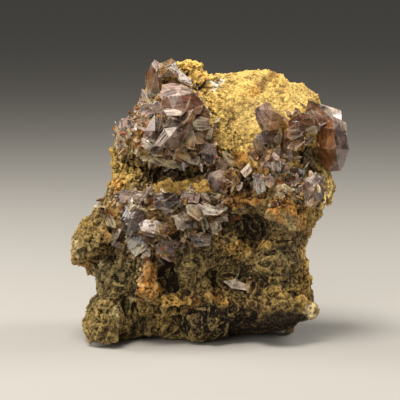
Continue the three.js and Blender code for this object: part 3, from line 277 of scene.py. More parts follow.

# %% [markdown]
# ## Painting the rock by named patches
#
# A specimen has places: a bright plateau, a rusty streak, a dark cleft. Each is an ellipse on the
# map with a colour and a strength, laid over the ones before it. The dark patches in clefts,
# hollows and undercuts are painted shade. Their rims are bent by noise so that no ellipse shows.
# The sides and the back are weathered more evenly, so they take a slow mix of the same colours.

# %% Patches of the front: across, up, half width, half height, turn, colour, strength
PATCHES = [
    # The lump as a whole, from the top down.
    (10, 60, 26, 16, 0, "ochre yellow", 1.0),
    (-14, 58, 15, 14, 0, "grey brown", 0.8),
    (0, 30, 40, 16, 0, "grey brown", 0.8),
    (0, 8, 40, 14, 0, "olive", 0.8),
    # Plateau and crown.
    (13, 61, 17, 11, 0, "ochre yellow", 1.0),
    (23, 63, 7, 4.5, -35, "pale yellow", 0.3),
    (14, 66, 9, 3, 0, "bright yellow", 0.5),
    (13, 60, 8, 4, 20, "pale yellow", 0.45),
    (4, 53, 7, 6, 0, "olive yellow", 0.5),
    (6.5, 59.4, 2.2, 1.4, 40, "rust", 0.6),
    (9, 62.6, 2.4, 1.4, 40, "rust", 0.65),
    (11.6, 65.4, 2.2, 1.2, 30, "orange ochre", 0.7),
    (14.6, 68, 3.2, 1.5, 20, "rust", 0.7),
    (17, 69.6, 2, 1, 0, "rust", 0.5),
    (20, 66.2, 1.6, 0.8, 30, "rust", 0.5),
    (1.7, 67.2, 2.3, 1.1, 0, "white chalk", 0.9),
    (-3.6, 71.6, 4, 3, 0, "gold", 0.9),
    (-1.4, 66.6, 2.4, 2.6, 0, "orange ochre", 0.6),
    (0.5, 61, 2.4, 5, 0, "gold", 0.5),
    (4, 47.4, 8, 2.6, 0, "mustard", 0.75),
    (8.5, 47.4, 3.6, 1.6, 0, "iron orange", 0.75),
    # Left rim and the hollows under the upper crystals.
    (-24, 45, 3.4, 9, 0, "olive yellow", 0.85),
    (-24.2, 39.5, 2.2, 3, 0, "orange ochre", 0.75),
    # Painted shade: umber in the hollow under the left crystals.
    (-21.6, 48, 2.6, 2, 0, "umber", 0.85),
    (-20.5, 44.5, 3, 3, 0, "olive yellow", 0.7),
    # Painted shade: umber under the cream plank and in a small recess, near black in another
    # recess.
    (-11.6, 43.6, 5.4, 2, -6, "umber", 0.4),
    (-1, 43.8, 1.8, 2.4, 0, "umber", 0.8),
    (9.5, 40.6, 1.8, 2.2, 30, "near black", 0.85),
    (-7, 39.6, 9, 2.4, 0, "mustard", 1.0),
    (-3, 40.8, 5, 1.4, 0, "gold", 0.3),
    (-9, 39, 5, 1.6, 0, "olive", 0.4),
    (-5, 45.4, 3, 2, -20, "olive yellow", 0.6),
    # Right side below the plateau.
    (16.5, 48.5, 5.6, 4, 0, "violet brown", 0.9),
    (7, 41, 4.8, 5.2, 30, "red umber", 1.0),
    (20.5, 41.5, 5, 4.4, -30, "pale sage", 0.9),
    # Painted light: white chalk over the pale sage lightens the hollow here.
    (20.5, 40.5, 3.5, 3, -30, "white chalk", 0.5),
    # Painted shade: dark olive in the hollow at the right rim.
    (26.3, 48, 2.4, 3, 0, "dark olive", 0.9),
    (23.4, 45.6, 2.4, 3, 0, "olive yellow", 0.6),
    (9, 36.2, 5.4, 1.8, 5, "iron orange", 0.8),
    (21.5, 32.8, 6.6, 3, -30, "orange ochre", 0.85),
    (19, 34.6, 3, 1.6, 0, "rust", 0.8),
    (21.8, 30.2, 2.6, 1.8, -30, "sage", 0.8),
    (31, 39, 1.5, 7, 0, "pale yellow", 0.9),
    (28.4, 31, 2.6, 4.4, 38, "olive yellow", 0.8),
    (6, 30, 3.8, 5, 0, "dark olive", 0.85),
    (12.6, 27.6, 4.6, 5, 0, "near black", 0.9),
    (10, 24, 8, 1.7, 4, "mustard", 0.8),
    (7.5, 19, 6, 4, 0, "umber", 0.35),
    (8, 21.6, 3.4, 1.2, -10, "mustard", 0.6),
    (17.5, 19.5, 4.4, 5, 0, "olive grey", 0.6),
    (17, 18, 3.4, 3.6, 0, "dark olive", 0.4),
    (19.6, 23.4, 3.4, 2, 20, "dark grey", 0.7),
    (25.4, 17, 2.4, 9, -8, "mustard", 0.9),
    (26.2, 22, 1.6, 4, -8, "pale yellow", 0.5),
    (20, 10, 6.4, 2.8, 0, "mustard", 0.3),
    # Painted shade: the umber at (16, 8) and the near black at (18, 2.6) lie in the undercut below
    # the spur.
    (16, 8, 6.2, 2.8, 0, "umber", 0.8),
    (8, 12.6, 6, 2.4, 0, "umber", 0.7),
    (10, 7.5, 6, 2.8, 0, "red umber", 0.7),
    (18, 2.6, 12.6, 3.3, 4, "near black", 1.0),
    (26.8, 6.5, 1.8, 1.6, 0, "cream", 0.7),
    # Middle band and the left knob.
    (-24.2, 32.6, 2, 1.6, 0, "gold", 0.85),
    (-15.8, 32.2, 2, 1.6, 0, "gold", 0.85),
    (-7.6, 27.6, 3.4, 1.8, 0, "near black", 0.8),
    (-17, 22, 5, 3, 0, "grey brown", 0.6),
    (-31.5, 26.5, 6.4, 6, 30, "olive", 1.0),
    (-31, 24.6, 5.4, 4.2, 30, "dark olive", 0.45),
    (-32.5, 28.5, 3, 2, 40, "mustard", 0.35),
    (-26.6, 25.6, 2.8, 4, 0, "rust", 0.55),
    (-36, 22.4, 1.8, 3, 0, "cream", 0.25),
    (-28, 20.4, 6, 1.3, 12, "umber", 0.75),
    (-32.6, 18.6, 2.4, 1.8, 0, "orange ochre", 0.65),
    (-29.4, 18.4, 1.6, 1.6, 0, "cream", 0.6),
    # Lower left.
    (-24, 14, 8, 7, 0, "sage", 0.7),
    (-20, 13, 3, 6, 0, "olive", 0.6),
    (-28, 5, 7, 8, 0, "olive", 0.9),
    (-27, 4.4, 5.6, 5, 0, "dark olive", 0.45),
    (-31, 3.6, 2.6, 3, 0, "olive yellow", 0.35),
    (-24.4, 6.4, 2.2, 1.8, 30, "pale sage", 0.55),
    (-16.7, 16, 2, 7, -20, "iron orange", 0.9),
    (-14.6, 11.4, 2.4, 2.4, 0, "iron orange", 0.8),
    (-18.6, 15, 1, 6, -20, "cream", 0.35),
    # Painted shade: near black in the upright cleft.
    (-10.3, 17.4, 1.9, 8, 0, "near black", 0.92),
    (-6.4, 20, 2.6, 5, 0, "olive grey", 0.8),
    (-0.6, 17, 6, 8, 10, "olive grey", 0.55),
    (-9.5, 9.8, 4.2, 1.8, 0, "mustard", 0.95),
    (-4.4, 7.4, 3, 3.2, 0, "iron orange", 0.7),
    (3, 9.4, 3.6, 2, -24, "orange ochre", 0.75),
    (-13, 5, 5, 2.2, 0, "olive yellow", 0.6),
    # Painted shade: umber and near black in the hollows under the lower edge of the lump.
    (-18, 2.6, 4.4, 2.6, 0, "umber", 0.75),
    (1, 4, 9.4, 5.4, 0, "near black", 1.0),
    (3, 5, 6.4, 4, 0, "near black", 1.0),
]
print("patches:", len(PATCHES))


# %% Laying the patches over one another
PATCH_RIM = 0.5          # how wide a patch's soft rim is, in half widths of the patch
WIDEST_BELOW = -7        # mm, how deep the lump is widest at its foot and at its top
WIDEST_ABOVE = 5
WIDEST_RISE = 70
FRONT_BEHIND = 7         # mm, how far behind the widest section the front still goes
FRONT_FADE = 5
SLOW_SIZE = 9            # mm, the size of the slow and of the fast change of colour
FAST_SIZE = 1.4


def bend(points, size, amount, seed):
    """Moves points about by smooth noise, size and amount in the points' own units."""
    offset = Vector((seed * 13.7, seed * 7.3, seed * 3.1))
    moved = [noise.noise_vector(Vector(p) / size + offset) for p in points]
    return np.array(moved) * amount


def ellipse_share(across, up, patch):
    """1 in the middle of a patch, 0 outside it, with a soft rim."""
    x, z, half_width, half_height, turn = patch[:5]
    angle = math.radians(turn)
    dx, dz = across - x, up - z
    along = (dx * math.cos(angle) + dz * math.sin(angle)) / half_width
    over = (dz * math.cos(angle) - dx * math.sin(angle)) / half_height
    reach = np.hypot(along, over)
    return np.clip((1 + PATCH_RIM / 2 - reach) / PATCH_RIM, 0, 1)


def front_share(points):
    """1 on the front of the lump, 0 on its back, by the depth of the widest section."""
    mm = points / MM
    rise = np.clip(mm[:, 2] / WIDEST_RISE, 0, 1)
    widest = WIDEST_BELOW + (WIDEST_ABOVE - WIDEST_BELOW) * rise
    return np.clip((widest + FRONT_BEHIND - mm[:, 1]) / FRONT_FADE, 0, 1)


def fields(mesh):
    """Bent map coordinates, front share and slow and fast noise for the corners of a mesh."""
    points = corners_of(mesh)
    mm = points / MM
    wobble = bend(mm, size=3.2, amount=1.6, seed=1) + bend(mm, size=1.1, amount=0.8, seed=2)
    across, up = on_map(points)
    slow = np.array([noise.noise(Vector(p) / SLOW_SIZE + Vector((5, 1, 8))) for p in mm])
    fast = np.array([noise.noise(Vector(p) / FAST_SIZE + Vector((2, 9, 4))) for p in mm])
    return across + wobble[:, 0], up + wobble[:, 2], front_share(points), slow, fast


def tint_of(mesh):
    """The painted colour of every corner of the rock's skin."""
    across, up, front, slow, fast = fields(mesh)
    height = corners_of(mesh)[:, 2] / MM
    tint = np.empty((len(across), 3))
    tint[:] = ROCK_COLOURS["olive"][:3]

    def lay(colour, share):
        share = np.clip(share, 0, 1)[:, None]
        tint[:] = tint * (1 - share) + np.array(ROCK_COLOURS[colour][:3]) * share

    # The whole lump: mustard and grey clouds, ochre towards the top, and darker grey brown towards
    # the foot as painted shade of the lower part.
    lay("mustard", np.clip(slow * 3 + 0.4, 0, 0.9))
    lay("olive grey", np.clip(-slow * 3 - 0.1, 0, 0.8))
    lay("ochre yellow", np.clip((height - 52) / 12, 0, 0.9))
    lay("grey brown", np.clip((14 - height) / 14, 0, 0.6))
    for patch in PATCHES:
        share = ellipse_share(across, up, patch) * patch[6]
        # Fast noise breaks a patch into flecks, most of all near its rim.
        flecked = np.clip(share * 1.35 + fast * 1.5 * (1 - share * 0.6) - 0.18, 0, patch[6])
        lay(patch[5], np.where(share > 0, flecked, 0) * front)
    return tint


print("patches can be laid")

# %% [markdown]
# ## Where the surface is rough, ribbed or set with crystals
#
# The relief and the scattered pieces need to know where they belong. Each such map is a number
# from 0 to 1 at every corner of a mesh, given by the same kind of ellipse. A fourth number says
# how near the corner is to a crystal, because the rock lies quiet round a crystal's foot.

# %% Maps for relief and scattering
MAPS = {
    "hatched": [(-1, 17, 8, 11, 0, 1.0), (7, 22, 10, 8, 0, 0.7), (20, 41, 6, 5, 0, 0.9),
                (16, 48, 6, 5, 0, 0.7), (-24, 12, 8, 10, 0, 0.4), (18, 20, 6, 6, 0, 0.7),
                (26, 48, 3, 4, 0, 1.0), (4, 8, 12, 6, 0, 0.6)],
    "smoother": [(16, 62, 16, 11, 0, 0.92), (5, 52, 8, 7, 0, 0.6), (-4, 71, 4, 3, 0, 0.2),
                 (17, 3.2, 12, 3, 4, 0.6), (21, 32, 6, 3, -30, 0.6), (-7, 39.6, 9, 2.4, 0, 0.4)],
    "nest": [(-9, 57, 10, 9, 0, 1.0), (-20, 54, 5, 5, 0, 0.9), (-10, 50, 9, 5, 0, 0.9),
             (0, 48, 4, 5, 0, 0.8), (-10, 33, 17, 6, 0, 0.9), (-14, 25, 10, 5, 0, 0.6),
             (17, 49, 6, 5, 0, 1.0), (19, 41, 7, 6, 0, 0.8), (26, 56, 6, 5, 0, 0.8),
             (3, 42, 5, 5, 0, 0.6), (28, 39, 4, 5, 0, 0.5), (8, 14, 5, 3, 0, 0.5),
             (-1, 32, 6, 5, 0, 0.8), (-26, 33, 4, 4, 0, 0.4)],
}
NEAR_REACH = 2.2 * MM
LEAST_HATCHED = 0.15
BACK_CALM = 0.6
# These crystals are crusts of smaller ones, so small blades may stand before them.
LAYERED = {"violet_white_knot", "greenish_plate", "grey_boss", "violet_white_plate",
           "lilac_side_blade", "striated_plate", "olive_side_blade", "sparkling_pair",
           "white_green_plate", "blue_grey_block", "green_block", "rounded_violet_block",
           "grey_violet_blade", "pale_green_block", "dark_left_block",
           "left_rim_block", "hollow_rib", "lilac_ledge_blade"}
CRYSTAL_NODES = [name for name in sorted(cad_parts) if name != "matrix_rock"]


def search_over(meshes):
    """One search tree over the faces of several meshes."""
    points, faces = [], []
    for mesh in meshes:
        base = len(points)
        points += [vertex.co.copy() for vertex in mesh.vertices]
        faces += [[base + i for i in face.vertices] for face in mesh.polygons]
    return bvhtree.BVHTree.FromPolygons(points, faces)


solid_crystals = search_over([merged_copy(name) for name in CRYSTAL_NODES])
bare_crystals = search_over([merged_copy(name) for name in CRYSTAL_NODES
                             if name not in LAYERED])


def maps_of(mesh):
    """Each map's number at every corner of a mesh, and the nearness to a crystal."""
    across, up, front, _, _ = fields(mesh)
    found = {}
    for name, ellipses in MAPS.items():
        best = np.zeros(len(across))
        for *ellipse, strength in ellipses:
            best = np.maximum(best, ellipse_share(across, up, ellipse) * strength)
        found[name] = best * front
    found["hatched"] = np.maximum(found["hatched"], LEAST_HATCHED)
    found["smoother"] = np.maximum(found["smoother"], BACK_CALM * (1 - front))
    gaps = [solid_crystals.find_nearest(Vector(point), NEAR_REACH)[3]
            for point in corners_of(mesh)]
    found["near"] = np.array([0.0 if gap is None else 1 - gap / NEAR_REACH for gap in gaps])
    return found


def keep_number(mesh, name, values):
    layer = mesh.attributes.new(name, "FLOAT", "POINT")
    layer.data.foreach_set("value", np.ascontiguousarray(values, dtype=np.float32))


def keep_colour(mesh, name, values):
    layer = mesh.attributes.new(name, "FLOAT_COLOR", "POINT")
    rgba = np.ones((len(values), 4), dtype=np.float32)
    rgba[:, :3] = values
    layer.data.foreach_set("color", rgba.ravel())


def move_corners(mesh, points):
    mesh.vertices.foreach_set("co", points.astype(np.float32).ravel())
    mesh.update()


print("maps:", list(MAPS))

# %% [markdown]
# ## Stone finish
#
# Up close the rock is a crust of grains, each a little lighter or darker than its neighbour. Pits
# and cracks get painted shade, partly earth, and what stands out gets a painted highlight. A stone
# could be given one plain colour and a rough bump, but it would look cast. So one node group makes
# the variation, because the loose grains need the same: it takes the painted colour and gives back
# the varied colour and a height for the bump. Where the rock is calm, the speckle is weaker.


# %% Light and dark of the grains, with painted highlight and shade
WARP_PER_METRE = 900.0      # waves to a metre of each noise in the stone
CLOUDS_PER_METRE = 330.0
SPECKLES_PER_METRE = 1300.0
GRIT_PER_METRE = 4200.0
WARP = 0.5 * MM             # how far the grains' outlines are bent
SMALL_GRAINS = 2.3          # how many small grains lie along a big one
CALM_TAKES = 0.65           # share of the speckle that a calm place loses
DARKEST = -0.85


def grain_light_with_painted_shade(tree, given, place, big, small):
    """How much lighter or darker each spot is: grains, clouds and speckle, with a painted
    highlight on edges and painted shade in hollows.
    """
    cloud = clouds(tree, place, CLOUDS_PER_METRE, 5.0, 0.7)[0]
    speckle = clouds(tree, place, SPECKLES_PER_METRE, 3.0, 0.6)[0]
    speckle = maths(tree, "MULTIPLY", one_minus(tree, given["Calm"], CALM_TAKES),
                    ramp(tree, speckle, 0.36, 0.64, -0.75, 0.8))
    light = maths(tree, "ADD", ramp(tree, big, 0, 1, -0.3, 0.3),
                  ramp(tree, small, 0, 1, -0.32, 0.32))
    light = maths(tree, "ADD", light, ramp(tree, cloud, 0.3, 0.7, -0.4, 0.4))
    light = maths(tree, "ADD", light, speckle)
    light = maths(tree, "MULTIPLY", light, given["Contrast"])
    # Painted highlight where the skin stands out, painted shade in cracks and broad hollows.
    light = maths(tree, "ADD", light, ramp(tree, given["Edge"], -1.2, 1.2, -0.5, 0.6))
    light = maths(tree, "ADD", light, ramp(tree, given["Rise"], -1.2, 1.2, -0.55, 0.5))
    return maths(tree, "MAXIMUM", light, DARKEST)


print("grains can be lit")


# %% Node group: grainy colour with painted highlight and shade
BLUE_SHARE = 0.95           # light and shade of stone are a little warmer than grey


def grain_and_painted_light_group():
    inputs = {"Color": "Color", **dict.fromkeys(
        ("Edge", "Rise", "Grain Size", "Contrast", "Calm"), "Float")}
    tree, given = new_tree("grainy colour with painted light", "ShaderNodeTree", inputs,
                           {"Color": "Color", "Height": "Float"})
    place = node(tree, "ShaderNodeTexCoord").outputs["Object"]
    warp = clouds(tree, place, WARP_PER_METRE, 2.0)["Color"]
    bent = vectors(tree, "ADD", place, scaled(tree, warp, WARP))
    per_metre = maths(tree, "DIVIDE", 1.0, given["Grain Size"])

    def grains(times):
        return node(tree, "ShaderNodeTexVoronoi", {
            "Vector": bent, "Scale": maths(tree, "MULTIPLY", per_metre, times)}).outputs

    big, small = grains(1.0), grains(SMALL_GRAINS)
    big_value = node(tree, "ShaderNodeSeparateColor", {0: big["Color"]}).outputs
    small_value = node(tree, "ShaderNodeSeparateColor", {0: small["Color"]}).outputs
    light = grain_light_with_painted_shade(tree, given, place, big_value[0], small_value[0])
    plain = maths(tree, "ADD", 1.0, light)
    bluish = maths(tree, "ADD", 1.0, maths(tree, "MULTIPLY", light, BLUE_SHARE))
    brighter = node(tree, "ShaderNodeCombineColor", {0: plain, 1: plain, 2: bluish}).outputs[0]
    varied = mixed(tree, 1.0, given["Color"], brighter, "MULTIPLY")
    layers = (
        (ramp(tree, big_value[1], 0.84, 0.9), 0.35, "rust"),           # single rusty grains
        (ramp(tree, small_value[1], 0.88, 0.94), 0.4, "umber"),        # single dark grains
        (ramp(tree, small_value[2], 0.86, 0.92), 0.225, "pale yellow"),
        (ramp(tree, given["Rise"], -0.2, -1.0), 0.8, "umber"),         # painted shade, partly earth, in the hollows
        (ramp(tree, given["Edge"], 0.5, 1.4), 0.35, "pale yellow"),    # painted highlight on the edges
        (ramp(tree, given["Edge"], -0.4, -1.3), 0.55, "near black"),   # painted shade in the cracks
    )
    for mask, most, colour in layers:
        share = maths(tree, "MULTIPLY", mask, most)
        varied = mixed(tree, share, varied, ROCK_COLOURS[colour])
    grit = clouds(tree, place, GRIT_PER_METRE, 4.0, 0.65)[0]
    height = maths(tree, "ADD", maths(tree, "MULTIPLY", small["Distance"], -0.5), grit)
    node(tree, "NodeGroupOutput", {0: varied, 1: height})
    return tree


GRAINY_WITH_PAINTED_LIGHT = grain_and_painted_light_group()
print("grainy colour with painted light:", len(GRAINY_WITH_PAINTED_LIGHT.nodes), "nodes")


# %% Stone finish
STONE_BUMP = 0.8
STONE_BUMP_DEPTH = 0.35 * MM
STONE_SHINE = 0.35


def stone_finish(name, grain_size, contrast, roughness):
    """A dry, grainy stone that takes its colour from the attribute called tint."""
    finish, tree, surface = new_finish(name)
    varied = node(tree, "ShaderNodeGroup", node_tree=GRAINY_WITH_PAINTED_LIGHT)
    varied.inputs["Grain Size"].default_value = grain_size
    varied.inputs["Contrast"].default_value = contrast
    tree.links.new(painted(tree, "tint", "Color"), varied.inputs["Color"])
    for socket, name_of_mark in (("Edge", "edge"), ("Rise", "rise"), ("Calm", "smoother")):
        tree.links.new(painted(tree, name_of_mark), varied.inputs[socket])
    bump = node(tree, "ShaderNodeBump", {"Height": varied.outputs["Height"],
                                         "Strength": STONE_BUMP,
                                         "Distance": STONE_BUMP_DEPTH})
    tree.links.new(varied.outputs["Color"], surface.inputs["Base Color"])
    tree.links.new(bump.outputs[0], surface.inputs["Normal"])
    surface.inputs["Roughness"].default_value = roughness
    surface.inputs["Specular IOR Level"].default_value = STONE_SHINE
    return finish


rock_finish = stone_finish("weathered matrix", grain_size=0.85 * MM, contrast=1.0,
                           roughness=0.88)
print("stone finish made")

# %% [markdown]
# ## Breaking the rock into planes
#
# Broken rock is made of small planes that meet at sharp edges, at every scale. The solid rock
# has planes of a few millimetres. Here its long edges are halved, and every corner is moved a
# little out or in and sideways, at random from a fixed seed. A voxel remesh then makes one closed
# skin of small squares, whatever the planes did to each other. The skin is then thinned to planes
# of one or two millimetres, and the same is done once more with much smaller moves. The plateau
# and the rock round the crystals are moved less. Sculpting could do this too, but it would have
# to be done by hand again after each change of the solid.


# %% Words for breaking
COARSE_SQUARE = 0.34 * MM
SKIN_SQUARE = 0.29 * MM
COARSE_EDGE = 3.2 * MM
COARSE_MOVE = 0.6 * MM
COARSE_SIDEWAYS = 0.6
FINE_TRIANGLES = 26_000
FINE_MOVE = 0.12 * MM
FINE_SIDEWAYS = 0.8
HALVINGS = 6
PLATEAU_CALM = 0.88
FOOT_CALM = 0.8


def halve_edges(work, longest):
    """Halves the edges of a bmesh of triangles until none is longer than this."""
    bmesh.ops.triangulate(work, faces=work.faces)
    for _ in range(HALVINGS):
        long_edges = [edge for edge in work.edges if edge.calc_length() > longest]
        if not long_edges:
            break
        bmesh.ops.subdivide_edges(work, edges=long_edges, cuts=1)
        bmesh.ops.triangulate(work, faces=[f for f in work.faces if len(f.verts) > 3])


def break_up(mesh, move, sideways, seed):
    """Moves each corner along its normal, and sideways by a share of that."""
    found = maps_of(mesh)
    rough = (1 - PLATEAU_CALM * found["smoother"]) * (1 - FOOT_CALM * found["near"])
    generator = np.random.default_rng(seed)
    normals = np.array([vertex.normal for vertex in mesh.vertices])
    steps = generator.uniform(-1, 1, (len(normals), 1)) * normals
    steps += generator.uniform(-1, 1, normals.shape) * sideways
    move_corners(mesh, corners_of(mesh) + steps * rough[:, None] * move)


def even_skin(thing, square):
    """Remeshes a thing into small squares and takes the stairs off its planes."""
    remesh = thing.modifiers.new("even squares", "REMESH")
    remesh.mode = "VOXEL"
    remesh.voxel_size = square
    soften = thing.modifiers.new("no stairs", "SMOOTH")
    soften.factor = 0.5
    soften.iterations = 1
    return settle(thing)


print("planes of at most", COARSE_EDGE / MM, "mm in the first round")

# %% First round: coarse planes
rock = new_piece("rock_skin", merged_copy("matrix_rock"))
work = bmesh.new()
work.from_mesh(rock.data)
halve_edges(work, COARSE_EDGE)
work.to_mesh(rock.data)
work.free()
print("coarse planes:", triangle_count(rock.data))
break_up(rock.data, COARSE_MOVE, COARSE_SIDEWAYS, seed=1)
even_skin(rock, COARSE_SQUARE)

# %% Second round: fine planes
fewer = rock.modifiers.new("fine planes", "DECIMATE")
fewer.ratio = FINE_TRIANGLES / triangle_count(rock.data)
settle(rock)
print("fine planes:", triangle_count(rock.data))
break_up(rock.data, FINE_MOVE, FINE_SIDEWAYS, seed=2)
even_skin(rock, SKIN_SQUARE)
for name, values in maps_of(rock.data).items():
    keep_number(rock.data, name, values)
print("rock skin corners:", len(rock.data.vertices), "triangles:", triangle_count(rock.data))

# %% [markdown]
# ## Broken relief with Geometry Nodes
#
# Rock breaks into small tilted planes. A Voronoi pattern splits space into cells; inside each
# cell the surface is tilted by that cell's own random slope and set back by a random step, and so
# it gets facets and little ledges instead of soft waves. Three sizes of cells are laid over each
# other. On top come upright folds, fine ribs where the rock is fibrous, and pits. All of it is
# one height at each corner, and the corner is pushed by that height.
#
# The direction of the push matters. Along the corner's own normal, every knob would swell like
# dough and every crack would close. So the push follows the normals of the broad form, which are
# the corners' normals blurred over their neighbours. The faces are shaded flat, because a broken
# plane has no round.


# %% Words for the relief
MIDDLE = (0.5, 0.5, 0.5)    # the middle of a noise's colours


def stored(tree, name, form="FLOAT"):
    """What is kept at each corner under this name."""
    return node(tree, "GeometryNodeInputNamedAttribute", {"Name": name},
                data_type=form).outputs["Attribute"]


def wave(tree, place, size, detail):
    """Smooth noise with waves of about this size."""
    return clouds(tree, place, maths(tree, "DIVIDE", 1.0, size), detail)


def drifted(tree, place, size):
    """The place, moved about by a noise as large as its waves."""
    drift = vectors(tree, "SUBTRACT", wave(tree, place, size, 1.0)["Color"], MIDDLE)
    return vectors(tree, "ADD", place, scaled(tree, drift, size))


def set_material(tree, geometry, material):
    """The end of each tree: copies made real, and the material on them."""
    whole = node(tree, "GeometryNodeRealizeInstances", {0: geometry}).outputs[0]
    done = node(tree, "GeometryNodeSetMaterial", {0: whole, "Material": material})
    node(tree, "NodeGroupOutput", {0: done.outputs[0]})


def run_tree(thing, tree, **sizes):
    """Runs a tree on a thing and keeps the result as its plain mesh."""
    modifier = thing.modifiers.new(tree.name, "NODES")
    modifier.node_group = tree
    sockets = {item.name: item.identifier for item in tree.interface.items_tree
               if item.in_out == "INPUT"}
    for name, value in sizes.items():
        modifier[sockets[name.replace("_", " ")]] = value
    return settle(thing)


print("words for the relief ready")


# %% Tilted planes in cells
PLANE_TILT = 1.3
PLANE_STEP = 0.6


def facets(tree, start, size, height):
    """Tilted planes of about this size, this high between their highest and lowest."""
    where = drifted(tree, start, size)
    cells = node(tree, "ShaderNodeTexVoronoi", {
        "Vector": where, "Scale": maths(tree, "DIVIDE", 1.0, size)}, feature="F1").outputs
    slope = vectors(tree, "SUBTRACT", cells["Color"], MIDDLE)
    reach = vectors(tree, "SUBTRACT", where, cells["Position"])
    tilt = vectors(tree, "DOT_PRODUCT", reach, slope, out="Value")
    tilt = maths(tree, "DIVIDE", maths(tree, "MULTIPLY", tilt, PLANE_TILT), size)
    step = node(tree, "ShaderNodeSeparateXYZ", {0: slope}).outputs[1]
    step = maths(tree, "MULTIPLY", step, PLANE_STEP)
    return maths(tree, "MULTIPLY", maths(tree, "ADD", tilt, step), height)


print("tilt and step of the planes:", PLANE_TILT, PLANE_STEP)

# %% [markdown]
# ### Folds, ribs and pits
#
# Old weathering leaves upright folds. A smooth noise has a level line, where it passes through
# its middle value, and a crest can stand along that line: the height falls off with the distance
# from the middle value. The noise is drawn out in the upright direction and leans over on the
# left side of the lump. Ribs are the same noise drawn out further and much finer, and pits are
# cut where a noise is high.


# %% Folds, ribs and pits
LEAN_STARTS = -12 * MM
LEAN_ENDS = -28 * MM
LEAN = 0.7
FOLD_DRIFT = 6.0 * MM
FOLD_STRETCH = (1.0, 1.0, 0.42)
CREST_FALL = 3.6
CREST_TOP = 0.55
SMALL_FOLD_SIZE = 0.4
SMALL_FOLD_HEIGHT = 0.2
RIB_STRETCH = (1.0, 1.0, 0.22)
RIB_SIZE = 0.9 * MM
PIT_SIZE = 1.8 * MM


def fold_place(tree, place, start):
    """Where the folds' noise is read: leaning on the left, drifting, and drawn out upright."""
    axes = node(tree, "ShaderNodeSeparateXYZ", {0: place}).outputs
    leftness = ramp(tree, axes[0], LEAN_STARTS, LEAN_ENDS, end=LEAN)
    sideways = maths(tree, "MULTIPLY", leftness, axes[2])
    sheared = node(tree, "ShaderNodeCombineXYZ", {
        0: maths(tree, "SUBTRACT", 0.0, sideways)}).outputs[0]
    drift = vectors(tree, "SUBTRACT", wave(tree, start, FOLD_DRIFT, 1.0)["Color"], MIDDLE)
    where = vectors(tree, "ADD", vectors(tree, "ADD", start, sheared),
                    scaled(tree, drift, FOLD_DRIFT))
    return vectors(tree, "MULTIPLY", where, FOLD_STRETCH)


def crests(tree, where, size, height):
    """Crests along the level lines of a noise."""
    level = maths(tree, "SUBTRACT", wave(tree, where, size, 1.0)[0], 0.5)
    level = maths(tree, "MULTIPLY", maths(tree, "ABSOLUTE", level), CREST_FALL)
    return maths(tree, "MULTIPLY", maths(tree, "SUBTRACT", CREST_TOP, level), height)


def folds(tree, place, start, size, height):
    """Large folds with small ones on them."""
    where = fold_place(tree, place, start)
    small_size = maths(tree, "MULTIPLY", size, SMALL_FOLD_SIZE)
    small_height = maths(tree, "MULTIPLY", height, SMALL_FOLD_HEIGHT)
    return maths(tree, "ADD", crests(tree, where, size, height),
                 crests(tree, where, small_size, small_height))


def ribs(tree, start, height):
    where = vectors(tree, "MULTIPLY", start, RIB_STRETCH)
    level = maths(tree, "SUBTRACT", wave(tree, where, RIB_SIZE, 2.0)[0], 0.5)
    return maths(tree, "MULTIPLY", level,
                 maths(tree, "MULTIPLY", stored(tree, "hatched"), height))


def pits(tree, start, depth):
    hollow = ramp(tree, wave(tree, start, PIT_SIZE, 3.0)[0], 0.6, 0.7)
    return maths(tree, "MULTIPLY", maths(tree, "MULTIPLY", hollow, depth), -1.0)


print("large folds lean by up to", round(math.degrees(math.atan(LEAN))), "degrees on the left")


# %% The push
BLUR_ROUNDS = 18
FOOT_STILL = 0.2 * MM       # below this nothing moves up or down, so the lump stands flat
FOOT_FREE = 2.0 * MM


def pushed(tree, geometry, place, height):
    """The surface moved out by the height, along the normals of the broad form."""
    broad_out = node(tree, "GeometryNodeBlurAttribute", data_type="FLOAT_VECTOR")
    broad_out.inputs["Iterations"].default_value = BLUR_ROUNDS
    tree.links.new(node(tree, "GeometryNodeInputNormal").outputs[0], broad_out.inputs["Value"])
    push = scaled(tree, vectors(tree, "NORMALIZE", broad_out.outputs[0]), height)
    level = node(tree, "ShaderNodeSeparateXYZ", {0: place}).outputs[2]
    above = ramp(tree, level, FOOT_STILL, FOOT_FREE)
    share = node(tree, "ShaderNodeCombineXYZ", {0: 1.0, 1: 1.0, 2: above}).outputs[0]
    moved = node(tree, "GeometryNodeSetPosition", {
        "Geometry": geometry, "Offset": vectors(tree, "MULTIPLY", push, share)}).outputs[0]
    return node(tree, "GeometryNodeSetShadeSmooth", {
        "Geometry": moved, "Shade Smooth": False}).outputs[0]


print("normals are blurred", BLUR_ROUNDS, "times")


# %% Tree: broken relief
RELIEF_SIZES = ("Block Size", "Block Height", "Chip Size", "Chip Height", "Crumb Size",
                "Crumb Height", "Fold Size", "Fold Height", "Rib Height", "Pit Depth")
CALM_PLACES = 0.92
CRUMBS_STAY = 0.5           # crumbs fade less than the rest where the rock is calm
FOOT_APART = 0.85
FOOT_LOWER = 0.25 * MM


